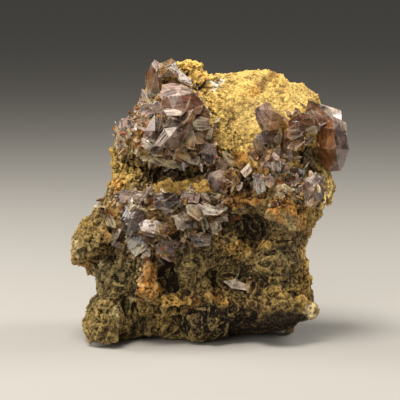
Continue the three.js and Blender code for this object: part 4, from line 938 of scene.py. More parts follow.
def relief_tree():
    tree, given = new_tree(
        "broken relief", "GeometryNodeTree",
        {"Geometry": "Geometry", **dict.fromkeys(RELIEF_SIZES, "Float"), "Seed": "Int",
         "Material": "Material"}, {"Geometry": "Geometry"})
    place = node(tree, "GeometryNodeInputPosition").outputs[0]
    shift = node(tree, "ShaderNodeCombineXYZ", {0: given["Seed"]}).outputs[0]
    start = vectors(tree, "ADD", place, shift)
    calm = one_minus(tree, stored(tree, "smoother"), CALM_PLACES)
    blocks = facets(tree, start, given["Block Size"], given["Block Height"])
    chips = facets(tree, start, given["Chip Size"], given["Chip Height"])
    broad = maths(tree, "MULTIPLY", maths(tree, "ADD", blocks, chips), calm)
    crumbs = maths(tree, "MULTIPLY",
                   facets(tree, start, given["Crumb Size"], given["Crumb Height"]),
                   maths(tree, "POWER", calm, CRUMBS_STAY))
    ridges = maths(tree, "MULTIPLY", folds(tree, place, start, given["Fold Size"],
                                           given["Fold Height"]), calm)
    hollows = maths(tree, "MULTIPLY", pits(tree, start, given["Pit Depth"]), calm)
    fine = maths(tree, "ADD", maths(tree, "ADD", crumbs,
                                    ribs(tree, start, given["Rib Height"])), ridges)
    height = maths(tree, "ADD", maths(tree, "ADD", broad, fine), hollows)
    # Round a crystal's foot the rock is quiet and lies a little lower.
    near = stored(tree, "near")
    height = maths(tree, "SUBTRACT",
                   maths(tree, "MULTIPLY", height, one_minus(tree, near, FOOT_APART)),
                   maths(tree, "MULTIPLY", near, FOOT_LOWER))
    set_material(tree, pushed(tree, given["Geometry"], place, height), given["Material"])
    return tree


run_tree(rock, relief_tree(), Block_Size=5.2 * MM, Block_Height=1.1 * MM, Chip_Size=2.0 * MM,
         Chip_Height=0.3 * MM, Crumb_Size=0.8 * MM, Crumb_Height=0.2 * MM,
         Fold_Size=5.6 * MM, Fold_Height=1.45 * MM, Rib_Height=0.7 * MM, Pit_Depth=0.8 * MM,
         Seed=3, Material=rock_finish)
print("rock with relief:", triangle_count(rock.data), "triangles")

# %% Back inside the solids' box
BOX_MARGIN = 0.8 * MM


def inside_box(points):
    """Draws points that come near the sides of the solids' box softly back inside it."""
    low, high = LOW + BOX_MARGIN, HIGH - BOX_MARGIN
    over = np.maximum(points - high, 0)
    under = np.maximum(low - points, 0)
    kept = np.clip(points, low, high)
    kept = kept + BOX_MARGIN * np.tanh(over / BOX_MARGIN)
    kept = kept - BOX_MARGIN * np.tanh(under / BOX_MARGIN)
    # The foot is left as it is, apart from what lies under the table.
    kept[:, 2] = np.where(points[:, 2] < low[2], np.maximum(points[:, 2], LOW[2]), kept[:, 2])
    return kept


move_corners(rock.data, inside_box(corners_of(rock.data)))
print("highest corner in mm:", round(corners_of(rock.data)[:, 2].max() / MM, 2))

# %% [markdown]
# ## Thinning the skin, and finding its edges and hollows
#
# The skin is thinned where it is nearly flat, so that the small squares are kept for the edges.
# The front is what one looks at, so it keeps about three quarters of the triangles. A Decimate
# modifier thins only what is in its vertex group, and so the back goes first and the front second.
#
# Then each corner is compared with the mean of its neighbours: one that stands out is an edge,
# which gets a painted highlight, and one that lies back is a crack, which gets painted shade. The
# same comparison with a well-smoothed copy finds the broad hollows, which get painted shade,
# partly earth. Calm places get weaker marks.

# %% Thinner skin
BACK_TRIANGLES = 46_000
FRONT_TRIANGLES = 146_000
GROUP_ONLY = 1000.0         # so high that corners outside the group stay


def thin_side(thing, front, target):
    """Thins only the front or only the rest of a thing, to this many triangles there."""
    share = front_share(corners_of(thing.data))
    chosen = share > 0.5 if front else share <= 0.5
    corners = np.array([face.vertices[0] for face in thing.data.polygons])
    sizes = np.array([len(face.vertices) - 2 for face in thing.data.polygons])
    there = int(sizes[chosen[corners]].sum())
    total = int(sizes.sum())
    group = thing.vertex_groups.new(name="to be thinned")
    group.add(np.nonzero(chosen)[0].tolist(), 1.0, "REPLACE")
    thin = thing.modifiers.new("thinner", "DECIMATE")
    thin.vertex_group = group.name
    thin.vertex_group_factor = GROUP_ONLY
    thin.ratio = min(1.0, (total - there + target) / total)
    settle(thing)
    thing.vertex_groups.clear()
    print("front" if front else "rest", there, "->", triangle_count(thing.data), "in all")


thin_side(rock, False, BACK_TRIANGLES)
thin_side(rock, True, FRONT_TRIANGLES)


# %% Edges and hollows
EDGE_ROUNDS = 3
RISE_ROUNDS = 110
EDGE_HEIGHT = 0.1 * MM      # what stands out this far has the mark 1
RISE_HEIGHT = 0.7 * MM
OWN_SHARE = 0.4             # how much of its own place a corner keeps in each round
HIGHEST_MARK = 1.5
CALM_MARKS = 0.6


def neighbour_mean(values, pairs, count):
    """Mean of the values of each corner's neighbours."""
    total = np.zeros_like(values)
    for one, other in ((0, 1), (1, 0)):
        for axis in range(values.shape[1]):
            total[:, axis] += np.bincount(pairs[:, one], values[pairs[:, other], axis],
                                          len(values))
    return total / np.maximum(count, 1)[:, None]


def shape_marks(mesh):
    """Two numbers for each corner: sharp edge (+) or crack (-), and broad rise or hollow."""
    points = corners_of(mesh)
    pairs = np.empty(len(mesh.edges) * 2, dtype=np.int64)
    mesh.edges.foreach_get("vertices", pairs)
    pairs = pairs.reshape(-1, 2)
    count = np.bincount(pairs.ravel(), minlength=len(points))
    normals = np.array([vertex.normal for vertex in mesh.vertices])

    def stands_out(rounds, height):
        smooth = points
        for _ in range(rounds):
            mean = neighbour_mean(smooth, pairs, count)
            smooth = smooth * OWN_SHARE + mean * (1 - OWN_SHARE)
        out = ((points - smooth) * normals).sum(axis=1)
        return np.clip(out / height, -HIGHEST_MARK, HIGHEST_MARK)

    return stands_out(EDGE_ROUNDS, EDGE_HEIGHT), stands_out(RISE_ROUNDS, RISE_HEIGHT)


calm_share = np.empty(len(rock.data.vertices), dtype=np.float32)
rock.data.attributes["smoother"].data.foreach_get("value", calm_share)
edge_mark, rise_mark = (mark * (1 - CALM_MARKS * calm_share) for mark in shape_marks(rock.data))
keep_number(rock.data, "edge", edge_mark)
keep_number(rock.data, "rise", rise_mark)
keep_colour(rock.data, "tint", tint_of(rock.data))
print("edge:", np.round(np.percentile(edge_mark, (5, 50, 95)), 2),
      "rise:", np.round(np.percentile(rise_mark, (5, 50, 95)), 2))

# %% [markdown]
# ## The crystals' colours
#
# Axinite is brown, violet or grey depending on the direction of the light in it, and each blade
# here has its own mood: golden at one end, lilac or reddish at the other, some milky white. The
# list says where each crystal lies on the map, which way its long axis points, and the colour at
# its foot and at its tip. Every corner of the solids takes the colours of the crystal it is in.

# %% Crystal colours, and the list of crystals
GEM = {
    "lilac": screen(152, 124, 116),
    "pale lilac": screen(198, 174, 162),
    "grey violet": screen(124, 99, 92),
    "violet": screen(102, 72, 62),
    "dark violet": screen(60, 44, 42),
    "clove": screen(114, 82, 56),
    "red brown": screen(120, 70, 50),
    "deep clove": screen(90, 50, 14),
    "deep red": screen(98, 44, 14),
    "golden": screen(170, 128, 72),
    "rusty": screen(156, 98, 56),
    "cream": screen(208, 190, 152),
    "bright cream": screen(242, 222, 182),
    "white": screen(216, 200, 180),
    "sage": screen(142, 134, 106),
    "blue grey": screen(146, 140, 126),
    "pink": screen(198, 164, 130),
}
# name: (across, up, half length, half width, turn of the long axis, foot, tip)
CRYSTALS = {
    "crown_red_wedge": (-14.6, 68.8, 4.8, 2.2, 89, "golden", "red brown"),
    "crown_golden_wedge": (-11.2, 71.4, 3.2, 2.3, 24, "golden", "golden"),
    "crown_pale_strip": (-7.0, 68.6, 3.3, 1.5, 132, "golden", "golden"),
    "crown_spur": (-15.9, 63.7, 2.7, 1.7, 122, "cream", "pale lilac"),
    "white_plate": (-8.4, 65.3, 4.2, 1.9, 7, "lilac", "pale lilac"),
    "red_brown_plate": (-7.0, 62.2, 5.8, 3.0, 1, "deep clove", "deep red"),
    "orange_step": (-1.9, 59.8, 2.7, 2.2, 162, "clove", "clove"),
    "thin_lilac_blade": (-9.2, 59.8, 2.9, 1.0, -1, "pale lilac", "pale lilac"),
    "violet_cube": (-6.6, 58.6, 1.7, 1.4, 83, "dark violet", "violet"),
    "bright_wedge": (-9.9, 56.8, 2.8, 2.2, 20, "white", "grey violet"),
    "grey_violet_plate": (-15.6, 60.2, 3.2, 2.6, 12, "pale lilac", "grey violet"),
    "kite_wedge": (-15.2, 55.5, 3.7, 1.9, 78, "violet", "grey violet"),
    "shadow_blade": (-12.8, 56.5, 2.1, 1.0, 90, "dark violet", "clove"),
    "lilac_side_blade": (-20.7, 55.3, 3.6, 3.0, 160, "red brown", "pale lilac"),
    "left_shoulder_plate": (-19.6, 59.0, 2.3, 1.7, 29, "pink", "cream"),
    "left_rim_block": (-22.8, 52.3, 2.3, 2.0, 90, "cream", "pink"),
    "central_blade": (-10.5, 53.1, 4.6, 2.9, 35, "pale lilac", "grey violet"),
    "narrow_brown_blade": (-5.8, 57.0, 3.4, 1.4, 55, "grey violet", "golden"),
    "brown_side_blade": (-6.4, 53.1, 3.2, 1.5, 64, "clove", "grey violet"),
    "white_edge_blade": (-6.6, 51.9, 2.0, 0.8, 71, "pink", "cream"),
    "golden_side_plate": (-4.9, 52.5, 2.7, 1.5, 90, "golden", "sage"),
    "grey_green_plate": (-2.0, 56.8, 2.4, 2.0, 5, "sage", "grey violet"),
    "bright_chip": (0.0, 53.9, 1.4, 0.9, 63, "white", "white"),
    "brownish_knot": (-2.5, 53.1, 2.2, 2.1, 158, "clove", "pink"),
    "dark_violet_block": (-14.1, 49.5, 1.9, 1.6, -6, "violet", "clove"),
    "small_white_blade": (-16.0, 51.5, 2.3, 1.5, 155, "cream", "white"),
    "cream_plank": (-13.2, 47.2, 5.8, 1.5, 161, "bright cream", "bright cream"),
    "olive_blade": (-6.4, 47.7, 2.8, 1.2, -38, "golden", "sage"),
    "olive_side_blade": (-3.6, 47.6, 2.2, 1.1, -63, "golden", "sage"),
    "striated_plate": (-0.2, 48.6, 3.0, 2.2, 98, "grey violet", "pale lilac"),
    "brown_lilac_block": (3.5, 45.8, 2.2, 1.8, 150, "violet", "pink"),
    "chisel_prism": (16.9, 58.0, 5.0, 3.4, 143, "golden", "lilac"),
    "lilac_foot_block": (15.2, 53.0, 2.8, 1.8, 1, "lilac", "violet"),
    "pink_rib": (20.3, 51.4, 3.2, 1.1, 85, "pink", "rusty"),
    "brown_rib": (18.4, 51.9, 2.9, 1.2, 81, "clove", "golden"),
    "red_brown_mass": (24.4, 56.9, 3.7, 2.6, 13, "red brown", "clove"),
    "golden_under_plate": (22.7, 53.9, 2.1, 1.4, 14, "golden", "violet"),
    "striated_roof": (28.9, 59.3, 4.1, 2.7, 149, "rusty", "clove"),
    "pale_rim_blade": (31.6, 59.8, 4.1, 1.4, 153, "pale lilac", "white"),
    "axe_head": (32.5, 51.3, 7.4, 4.4, 96, "lilac", "rusty"),
    "axe_head_rim": (35.5, 55.7, 2.1, 0.9, 111, "pink", "white"),
    "pale_brown_blade": (22.9, 52.0, 3.3, 1.4, 44, "golden", "pink"),
    "cream_block": (27.1, 55.0, 1.6, 1.1, -3, "cream", "cream"),
    "hollow_rib": (26.6, 47.8, 2.9, 1.2, -64, "sage", "golden"),
    "lilac_lozenge": (2.4, 41.4, 3.3, 2.4, 49, "grey violet", "pale lilac"),
    "cream_wedge": (5.2, 47.3, 2.1, 1.1, 124, "cream", "cream"),
    "pink_wedge": (9.8, 44.3, 2.1, 1.4, 60, "pink", "white"),
    "pale_stripe": (9.4, 40.7, 2.4, 0.9, 54, "cream", "pink"),
    "sparkling_pair": (17.7, 45.5, 1.7, 1.6, 119, "lilac", "white"),
    "sparkling_block": (20.1, 44.8, 1.6, 1.3, 90, "violet", "pink"),
    "blue_grey_block": (13.6, 40.8, 3.1, 2.0, 89, "blue grey", "grey violet"),
    "pink_side_block": (16.2, 41.2, 1.7, 1.4, 97, "pink", "lilac"),
    "rounded_violet_block": (27.7, 39.4, 4.3, 2.9, 84, "clove", "lilac"),
    "blue_white_plate": (23.2, 38.0, 2.7, 1.3, -40, "blue grey", "white"),
    "pale_brown_scale": (23.4, 35.8, 1.8, 1.1, 153, "cream", "golden"),
    "ledge_wedge": (13.3, 50.0, 2.6, 1.5, 111, "violet", "pink"),
    "lilac_ledge_blade": (18.0, 48.7, 1.8, 1.2, 71, "lilac", "violet"),
    "green_block": (21.0, 42.9, 1.9, 1.3, 137, "sage", "cream"),
    "white_green_plate": (1.0, 33.8, 3.4, 1.5, -10, "blue grey", "white"),
    "blue_foot_plate": (-0.9, 31.8, 1.4, 1.0, 78, "blue grey", "pale lilac"),
    "pale_green_block": (1.8, 29.2, 1.8, 1.6, 101, "sage", "white"),
    "violet_white_knot": (-6.8, 30.8, 3.0, 2.5, 160, "violet", "white"),
    "curved_blade_upper": (-3.7, 33.1, 3.0, 1.7, 137, "clove", "cream"),
    "curved_blade_lower": (-1.4, 30.1, 2.4, 1.0, 111, "sage", "cream"),
    "pale_left_blade": (-20.9, 37.3, 4.3, 1.8, -2, "lilac", "pink"),
    "narrow_lilac_blade": (-16.8, 37.1, 3.0, 1.0, 57, "lilac", "pale lilac"),
    "pink_white_chips": (-13.2, 39.0, 2.1, 1.1, -10, "pink", "white"),
    "dark_shard": (-11.4, 36.1, 3.4, 2.5, 13, "violet", "dark violet"),
    "white_scale": (-11.6, 33.9, 1.9, 0.9, -16, "pale lilac", "white"),
    "grey_violet_blade": (-5.1, 37.5, 2.7, 1.8, -7, "grey violet", "lilac"),
    "bright_splinter": (-7.7, 35.2, 1.7, 0.8, 57, "white", "white"),
    "short_pale_blade": (-1.1, 37.1, 2.4, 0.9, 127, "cream", "white"),
    "dark_left_block": (-20.2, 31.2, 4.8, 2.8, 73, "dark violet", "grey violet"),
    "cream_pink_plate": (-14.7, 28.9, 4.1, 1.8, 167, "golden", "lilac"),
    "grey_boss": (-11.6, 23.9, 3.0, 2.9, 130, "grey violet", "pale lilac"),
    "greenish_plate": (-18.6, 24.7, 3.5, 3.1, 58, "sage", "grey violet"),
    "violet_white_plate": (-2.4, 25.8, 3.1, 2.1, -8, "grey violet", "pale lilac"),
    "side_shard": (-24.7, 26.9, 2.4, 1.3, -118, "clove", "sage"),
    "square_crystal": (-26.2, 30.9, 2.2, 1.3, 125, "cream", "clove"),
    "bright_flake": (7.4, 13.6, 3.8, 1.3, 164, "pale lilac", "white"),
}
print("crystals in the list:", len(CRYSTALS))

# %% [markdown]
# ## Finer solids for the crystals
#
# A copy of each crystal solid gets a hair-thin bevel, because no real edge is perfectly sharp and
# the bevel is what catches the light. Then long edges are halved until none is longer than about
# half a millimetre, so that growth steps can be raised on the faces. Each facet also gets a
# painted reflection: it is lighter where it faces up, towards the light, and lighter or darker by
# chance, since the facets of a real crystal don't mirror the same part of the room.
#
# The tools give the bevel's faces in a changing order, and the halving depends on that order. So
# corners and faces are sorted by their places first, and each run makes the same crystals.

# %% Sorting by place
SORT_STEP = 0.001 * MM


def in_order(work):
    """The faces of a bmesh as a new bmesh, with corners and faces sorted by their places."""
    mesh = bpy.data.meshes.new("unsorted")
    work.to_mesh(mesh)
    work.free()
    points = corners_of(mesh)
    order = np.lexsort(np.round(points / SORT_STEP).T)
    rank = np.empty(len(order), dtype=int)
    rank[order] = np.arange(len(order))
    rings = []
    for face in mesh.polygons:
        ring = [int(rank[i]) for i in face.vertices]
        first = ring.index(min(ring))
        rings.append((ring[first:] + ring[:first], face.index))
    rings.sort()
    made = bpy.data.meshes.new("sorted")
    made.from_pydata(points[order].tolist(), [], [ring for ring, _ in rings])
    for old in mesh.attributes:
        if old.domain == "FACE" and old.data_type == "FLOAT":
            marks = [old.data[place].value for _, place in rings]
            made.attributes.new(old.name, "FLOAT", "FACE").data.foreach_set("value", marks)
    again = bmesh.new()
    again.from_mesh(made)
    return again


print("corners nearer than", SORT_STEP / MM, "mm count as one place")

# %% Copies of the crystal solids with bevelled edges
BEVEL = 0.09 * MM
LONGEST_EDGE = 0.55 * MM
SHORTEST_BEVEL = 0.5 * MM
ONE_FACET = math.radians(1)     # faces that meet at less than this are one facet
SHARP = math.radians(18)        # edges sharper than this are bevelled
FACET_GRAIN = 5.3               # cells of chance in a millimetre


def facet_painted_reflection(face):
    """A facet's painted reflection: lighter where it faces up, towards the light, and some chance
    by its place.
    """
    chance = noise.cell(face.calc_center_median() / MM * FACET_GRAIN)
    return 0.35 + 0.3 * face.normal.z + 0.5 * (chance - 0.5)


def fine_crystal(node_name):
    """A closed copy of a crystal solid, bevelled and divided into small triangles."""
    mesh = merged_copy(node_name)
    work = bmesh.new()
    work.from_mesh(mesh)
    bmesh.ops.dissolve_limit(work, angle_limit=ONE_FACET, verts=work.verts, edges=work.edges)
    work = in_order(work)
    rim = work.faces.layers.float.new("rim")
    facet = work.faces.layers.float.new("facet")
    for face in work.faces:
        face[facet] = facet_painted_reflection(face)
    sharp = [edge for edge in work.edges
             if len(edge.link_faces) == 2 and edge.calc_face_angle(0) > SHARP
             and edge.calc_length() > SHORTEST_BEVEL]
    made = bmesh.ops.bevel(work, geom=sharp, offset=BEVEL, segments=1, affect="EDGES",
                           clamp_overlap=True)
    for face in made["faces"]:
        face[rim] = 1.0
    work = in_order(work)
    halve_edges(work, LONGEST_EDGE)
    work.to_mesh(mesh)
    work.free()
    return mesh


def soften_rims(mesh):
    """Turns the bevel faces' mark into a mark of their corners, which fades over the faces."""
    marks = np.empty(len(mesh.polygons), dtype=np.float32)
    mesh.attributes["rim"].data.foreach_get("value", marks)
    corner_marks = np.zeros(len(mesh.vertices))
    for face, mark in zip(mesh.polygons, marks):
        if mark > 0.5:
            corner_marks[list(face.vertices)] = 1.0
    mesh.attributes.remove(mesh.attributes["rim"])
    keep_number(mesh, "rim", corner_marks)
    return mesh


print("bevel in mm:", BEVEL / MM)

# %% [markdown]
# ## Painting the crystals
#
# Each corner looks for the crystal on the list that it lies deepest in, takes a colour between
# that crystal's foot and tip by its place along the blade, and keeps its place along and across
# the blade. The growth lines need that place, because they run along the blade whatever way it
# points. The long axis itself is kept too, for the plates that grow along it later.

# %% Painting the crystals
FOOT_TO_TIP = 0.62          # how fast the colour changes along half a blade
AXE_TURN = 0.1              # the direction where the axe head turns from golden to violet
AXE_SHARPNESS = 2.2
DEPTH_SHARE = 0.6           # how much the growth lines follow the depth
BETWEEN_CRYSTALS = 7.0      # the lines of two crystals don't run on into each other
TOWARDS_VIEWER = -0.2       # the long axes lean a little out of the picture


def nearest_crystal(across, up):
    """For each corner: its crystal's row, and its place along and across that crystal."""
    rows = np.array([row[:5] for row in CRYSTALS.values()], dtype=float)
    angle = np.radians(rows[:, 4])
    dx, dz = across[:, None] - rows[:, 0], up[:, None] - rows[:, 1]
    along = dx * np.cos(angle) + dz * np.sin(angle)
    over = dz * np.cos(angle) - dx * np.sin(angle)
    mine = np.hypot(along / rows[:, 2], over / rows[:, 3]).argmin(axis=1)
    pick = np.arange(len(across))
    return mine, along[pick, mine], over[pick, mine], rows[mine, 2], angle[mine]


def keep_vectors(mesh, name, values):
    layer = mesh.attributes.new(name, "FLOAT_VECTOR", "POINT")
    layer.data.foreach_set("vector", values.astype(np.float32).ravel())


def paint_crystal(mesh):
    """Gives each corner its crystal's colour, and its place along and across that crystal."""
    points = corners_of(mesh)
    mine, along, over, half_length, turn = nearest_crystal(*on_map(points))
    feet = np.array([GEM[row[5]][:3] for row in CRYSTALS.values()])
    tips = np.array([GEM[row[6]][:3] for row in CRYSTALS.values()])
    share = np.clip(0.5 + FOOT_TO_TIP * along / half_length, 0, 1)[:, None]
    # The big blade on the right shows a golden left side and a violet right side.
    axe = list(CRYSTALS).index("axe_head")
    normals = np.array([vertex.normal for vertex in mesh.vertices])
    side = np.clip(0.5 - AXE_SHARPNESS * (normals[:, 0] - AXE_TURN), 0, 1)[:, None]
    share = np.where((mine == axe)[:, None], side, share)
    keep_colour(mesh, "tint", feet[mine] * (1 - share) + tips[mine] * share)
    depth = points[:, 1] / MM * DEPTH_SHARE
    keep_vectors(mesh, "lines", np.stack([along, over + depth, mine * BETWEEN_CRYSTALS], axis=1))
    keep_vectors(mesh, "axis", np.stack([np.cos(turn), 0 * turn + TOWARDS_VIEWER, np.sin(turn)],
                                        axis=1))
    return mesh


crystals = {name: new_piece(name + "_crystal", paint_crystal(soften_rims(fine_crystal(name))))
            for name in CRYSTAL_NODES}
print("crystal pieces:", len(crystals), "triangles:",
      sum(triangle_count(thing.data) for thing in crystals.values()))

# %% [markdown]
# ## Growth steps with Geometry Nodes
#
# Axinite grows in thin layers, and their edges run as fine steps along the blade. The tree takes
# the place across the blade from an attribute, makes a noise that changes fast across and slowly
# along, and pushes the surface out or in by less than a tenth of a millimetre. A bump alone would
# show no step on the crystals' outline.


# %% Tree: growth steps
STEP_STRETCH = (0.12, 1.0, 1.0)
CHIPS_PER_METRE = 700.0


def growth_tree():
    tree, given = new_tree(
        "growth steps", "GeometryNodeTree",
        {"Geometry": "Geometry", "Step Width": "Float", "Step Height": "Float",
         "Chip Height": "Float", "Material": "Material"}, {"Geometry": "Geometry"})
    lines = stored(tree, "lines", "FLOAT_VECTOR")
    squeezed = vectors(tree, "MULTIPLY", lines, STEP_STRETCH)
    step = maths(tree, "SUBTRACT", wave(tree, squeezed, given["Step Width"], 1.0)[0], 0.5)
    place = node(tree, "GeometryNodeInputPosition").outputs[0]
    cells = node(tree, "ShaderNodeTexVoronoi", {"Vector": place, "Scale": CHIPS_PER_METRE})
    chip = node(tree, "ShaderNodeSeparateXYZ", {0: cells.outputs["Color"]}).outputs[0]
    chip = maths(tree, "SUBTRACT", chip, 0.5)
    height = maths(tree, "ADD", maths(tree, "MULTIPLY", step, given["Step Height"]),
                   maths(tree, "MULTIPLY", chip, given["Chip Height"]))
    push = scaled(tree, node(tree, "GeometryNodeInputNormal").outputs[0], height)
    moved = node(tree, "GeometryNodeSetPosition", {0: given["Geometry"], "Offset": push})
    set_material(tree, moved.outputs[0], given["Material"])
    return tree


growth_steps = growth_tree()
print("growth steps:", len(growth_steps.nodes), "nodes")

# %% [markdown]
# ## Crystal finishes
#
# A clear crystal is mostly light that went through it: plain transmission with axinite's index of
# refraction, 1.68, and an absorption inside that makes thick parts darker than thin ones. The
# rest is its skin: fine lines along the blade, some dust, veils that scatter, a painted reflection
# that makes each facet lighter or darker, and pale rims that are partly wear and partly a painted
# highlight. Four finishes differ in how much of the light goes through and how much is mirrored:
# clear, milky, dark, and weathered, which has lost its shine.


# %% Node group: striped crystal skin
LINE_STRETCH = (0.16, 1.0, 1.0)
VEIL_PER_METRE = 420.0
RIM_WEAR_AND_HIGHLIGHT = screen(222, 200, 168)
DUST_COLOUR = screen(196, 164, 110)
DARKEST_STRIPE = 0.15
DUST_ROUGHNESS = 0.4


def skin_group():
    inputs = {"Color": "Color", "Lines": "Vector", **dict.fromkeys(
        ("Dust", "Stripes", "Dullness", "Rim", "Facet"), "Float")}
    tree, given = new_tree("striped crystal skin", "ShaderNodeTree", inputs,
                           {"Color": "Color", "Roughness": "Float", "Height": "Float"})
    along = vectors(tree, "MULTIPLY", given["Lines"], LINE_STRETCH)
    fine = clouds(tree, along, 2.0, 3.0)[0]
    broad = clouds(tree, along, 0.8, 2.0)[0]
    place = node(tree, "ShaderNodeTexCoord").outputs["Object"]
    veil = clouds(tree, place, VEIL_PER_METRE, 4.0, 0.65)[0]
    light = maths(tree, "ADD", ramp(tree, fine, 0.34, 0.66, -0.55, 0.6),
                  ramp(tree, broad, 0.3, 0.7, -0.4, 0.4))
    light = maths(tree, "MULTIPLY", light, given["Stripes"])
    light = maths(tree, "ADD", light, ramp(tree, veil, 0.3, 0.7, -0.4, 0.4))
    # Painted reflection: each facet is lighter or darker by its facet mark.
    light = maths(tree, "ADD", light, ramp(tree, given["Facet"], 0.0, 1.0, -0.35, 0.4))
    light = maths(tree, "MAXIMUM", maths(tree, "ADD", light, 1.0), DARKEST_STRIPE)
    shade = node(tree, "ShaderNodeCombineColor", {0: light, 1: light, 2: light}).outputs[0]
    varied = mixed(tree, 1.0, given["Color"], shade, "MULTIPLY")
    # Pale rims on the bevels, partly wear and partly a painted highlight.
    rim_wear_and_highlight = maths(tree, "MULTIPLY", given["Rim"], ramp(tree, veil, 0.4, 0.62, 0.0, 0.6))
    varied = mixed(tree, rim_wear_and_highlight, varied, RIM_WEAR_AND_HIGHLIGHT)
    dust = maths(tree, "MULTIPLY", ramp(tree, veil, 0.52, 0.66), given["Dust"])
    dusty = mixed(tree, dust, varied, DUST_COLOUR)
    rough = maths(tree, "ADD", ramp(tree, veil, 0.35, 0.7, 0.1, 0.32),
                  maths(tree, "MULTIPLY", dust, DUST_ROUGHNESS))
    rough = maths(tree, "ADD", rough, given["Dullness"])
    node(tree, "NodeGroupOutput", {0: dusty, 1: rough, 2: maths(tree, "ADD", fine, broad)})
    return tree


SKIN = skin_group()
print("striped crystal skin:", len(SKIN.nodes), "nodes")


# %% Four finishes for the large crystals
AXINITE_INDEX = 1.68
LINE_BUMP = 0.35
LINE_BUMP_DEPTH = 0.12 * MM


def gem_finish(name, transmission, dust, stripes, absorption, density, dullness=0.0, shine=0.5):
    """A striped crystal that light goes through, and that absorbs some on the way."""
    finish, tree, surface = new_finish(name)
    skin = node(tree, "ShaderNodeGroup", node_tree=SKIN)
    for socket, value in (("Dust", dust), ("Stripes", stripes), ("Dullness", dullness)):
        skin.inputs[socket].default_value = value
    tree.links.new(painted(tree, "tint", "Color"), skin.inputs["Color"])
    tree.links.new(painted(tree, "lines", "Vector"), skin.inputs["Lines"])
    tree.links.new(painted(tree, "rim"), skin.inputs["Rim"])
    tree.links.new(painted(tree, "facet"), skin.inputs["Facet"])
    bump = node(tree, "ShaderNodeBump", {"Height": skin.outputs["Height"],
                                         "Strength": LINE_BUMP, "Distance": LINE_BUMP_DEPTH})
    tree.links.new(skin.outputs["Color"], surface.inputs["Base Color"])
    tree.links.new(skin.outputs["Roughness"], surface.inputs["Roughness"])
    tree.links.new(bump.outputs[0], surface.inputs["Normal"])
    surface.inputs["Transmission Weight"].default_value = transmission
    surface.inputs["IOR"].default_value = AXINITE_INDEX
    surface.inputs["Specular IOR Level"].default_value = shine
    inside = node(tree, "ShaderNodeVolumeAbsorption")
    inside.inputs["Color"].default_value = absorption
    inside.inputs["Density"].default_value = density
    tree.links.new(inside.outputs[0], tree.nodes["Material Output"].inputs["Volume"])
    return finish


clear_finish = gem_finish("clear axinite", transmission=0.5, dust=0.28, stripes=0.9,
                          absorption=(0.86, 0.62, 0.44, 1), density=130)
milky_finish = gem_finish("milky axinite", transmission=0.25, dust=0.3, stripes=1.0,
                          absorption=(0.94, 0.84, 0.68, 1), density=60)
dark_finish = gem_finish("dark axinite", transmission=0.6, dust=0.15, stripes=0.7,
                         absorption=(0.8, 0.5, 0.34, 1), density=150)
weathered_finish = gem_finish("weathered axinite", transmission=0.35, dust=0.12, stripes=1.0,
                              absorption=(0.85, 0.5, 0.24, 1), density=210, dullness=0.12,
                              shine=0.12)
print("crystal finishes made")

# %% Growth steps and a finish for each large crystal
MILKY = {"bright_chip", "bright_flake", "pale_rim_blade", "cream_wedge", "pink_wedge",
         "cream_plank", "short_pale_blade", "pale_green_block", "greenish_plate",
         "white_green_plate", "left_rim_block", "left_shoulder_plate", "crown_spur"}
DARK = {"axe_head", "red_brown_mass", "dark_left_block", "dark_shard", "dark_violet_block",
        "shadow_blade", "crown_red_wedge"}
WEATHERED = {"red_brown_plate", "kite_wedge"}
for name, thing in crystals.items():
    finish = clear_finish
    for names, other in ((MILKY, milky_finish), (DARK, dark_finish),
                         (WEATHERED, weathered_finish)):
        finish = other if name in names else finish
    thing.data.materials.clear()
    run_tree(thing, growth_steps, Step_Width=0.8, Step_Height=0.12 * MM,
             Chip_Height=0.03 * MM, Material=finish)
    move_corners(thing.data, np.clip(corners_of(thing.data), LOW, HIGH))
print("finishes given to", len(crystals), "crystal pieces")

# %% [markdown]
# ## Setting the crystals in the rock
#
# A crystal is rooted in its rock. The two could simply cross, but then a dark seam or a step
# shows where they meet. So the skin is drawn up around every crystal's foot: a corner of the skin
# near a crystal moves towards it, all the way when it is close and less further off.

# %% Drawing the rock up to the crystals' feet
FOOT_REACH = 1.1 * MM
FOOT_FULL = 0.5 * MM
FOOT_SINK = 0.12 * MM

crystal_search = search_over([thing.data for thing in crystals.values()])
skin_now = corners_of(rock.data)
drawn = 0
for i, point in enumerate(skin_now):
    near, normal, _, gap = crystal_search.find_nearest(Vector(point), FOOT_REACH)
    if near is None:
        continue
    towards = near - Vector(point)
    if towards.dot(normal) > 0:  # the corner is inside the crystal already
        continue
    share = min(1.0, (FOOT_REACH - gap) / (FOOT_REACH - FOOT_FULL))
    step = min(gap + FOOT_SINK, FOOT_FULL + FOOT_SINK) * share
    skin_now[i] = np.array(point) + np.array(towards.normalized()) * step
    drawn += 1
move_corners(rock.data, inside_box(skin_now))
print("skin corners drawn to a crystal:", drawn)

# %% [markdown]
# ## Small blades, splinters and grains
#
# Between the large crystals sit hundreds of small ones, and the rock is covered with grains and
# ribbed with splinters of altered mineral. All are scattered by one tree: points fall on
# the skin where a painted map allows them, each gets a copy of a small shape, turned to the
# surface, leaned and scaled at random from a fixed seed, and the copies are made real at the end.
# The points carry the rock's own tint along, so a grain has the colour of its place.


# %% Tree: scattered pieces
def grown_along(tree, axis, outward):
    """A rotation that lays a shape's height along the axis and its thin side on the surface."""
    first = node(tree, "FunctionNodeAlignRotationToVector", {"Vector": outward}, axis="Y")
    return node(tree, "FunctionNodeAlignRotationToVector", {
        "Rotation": first.outputs[0], "Vector": axis}, axis="Z", pivot_axis="Y").outputs[0]


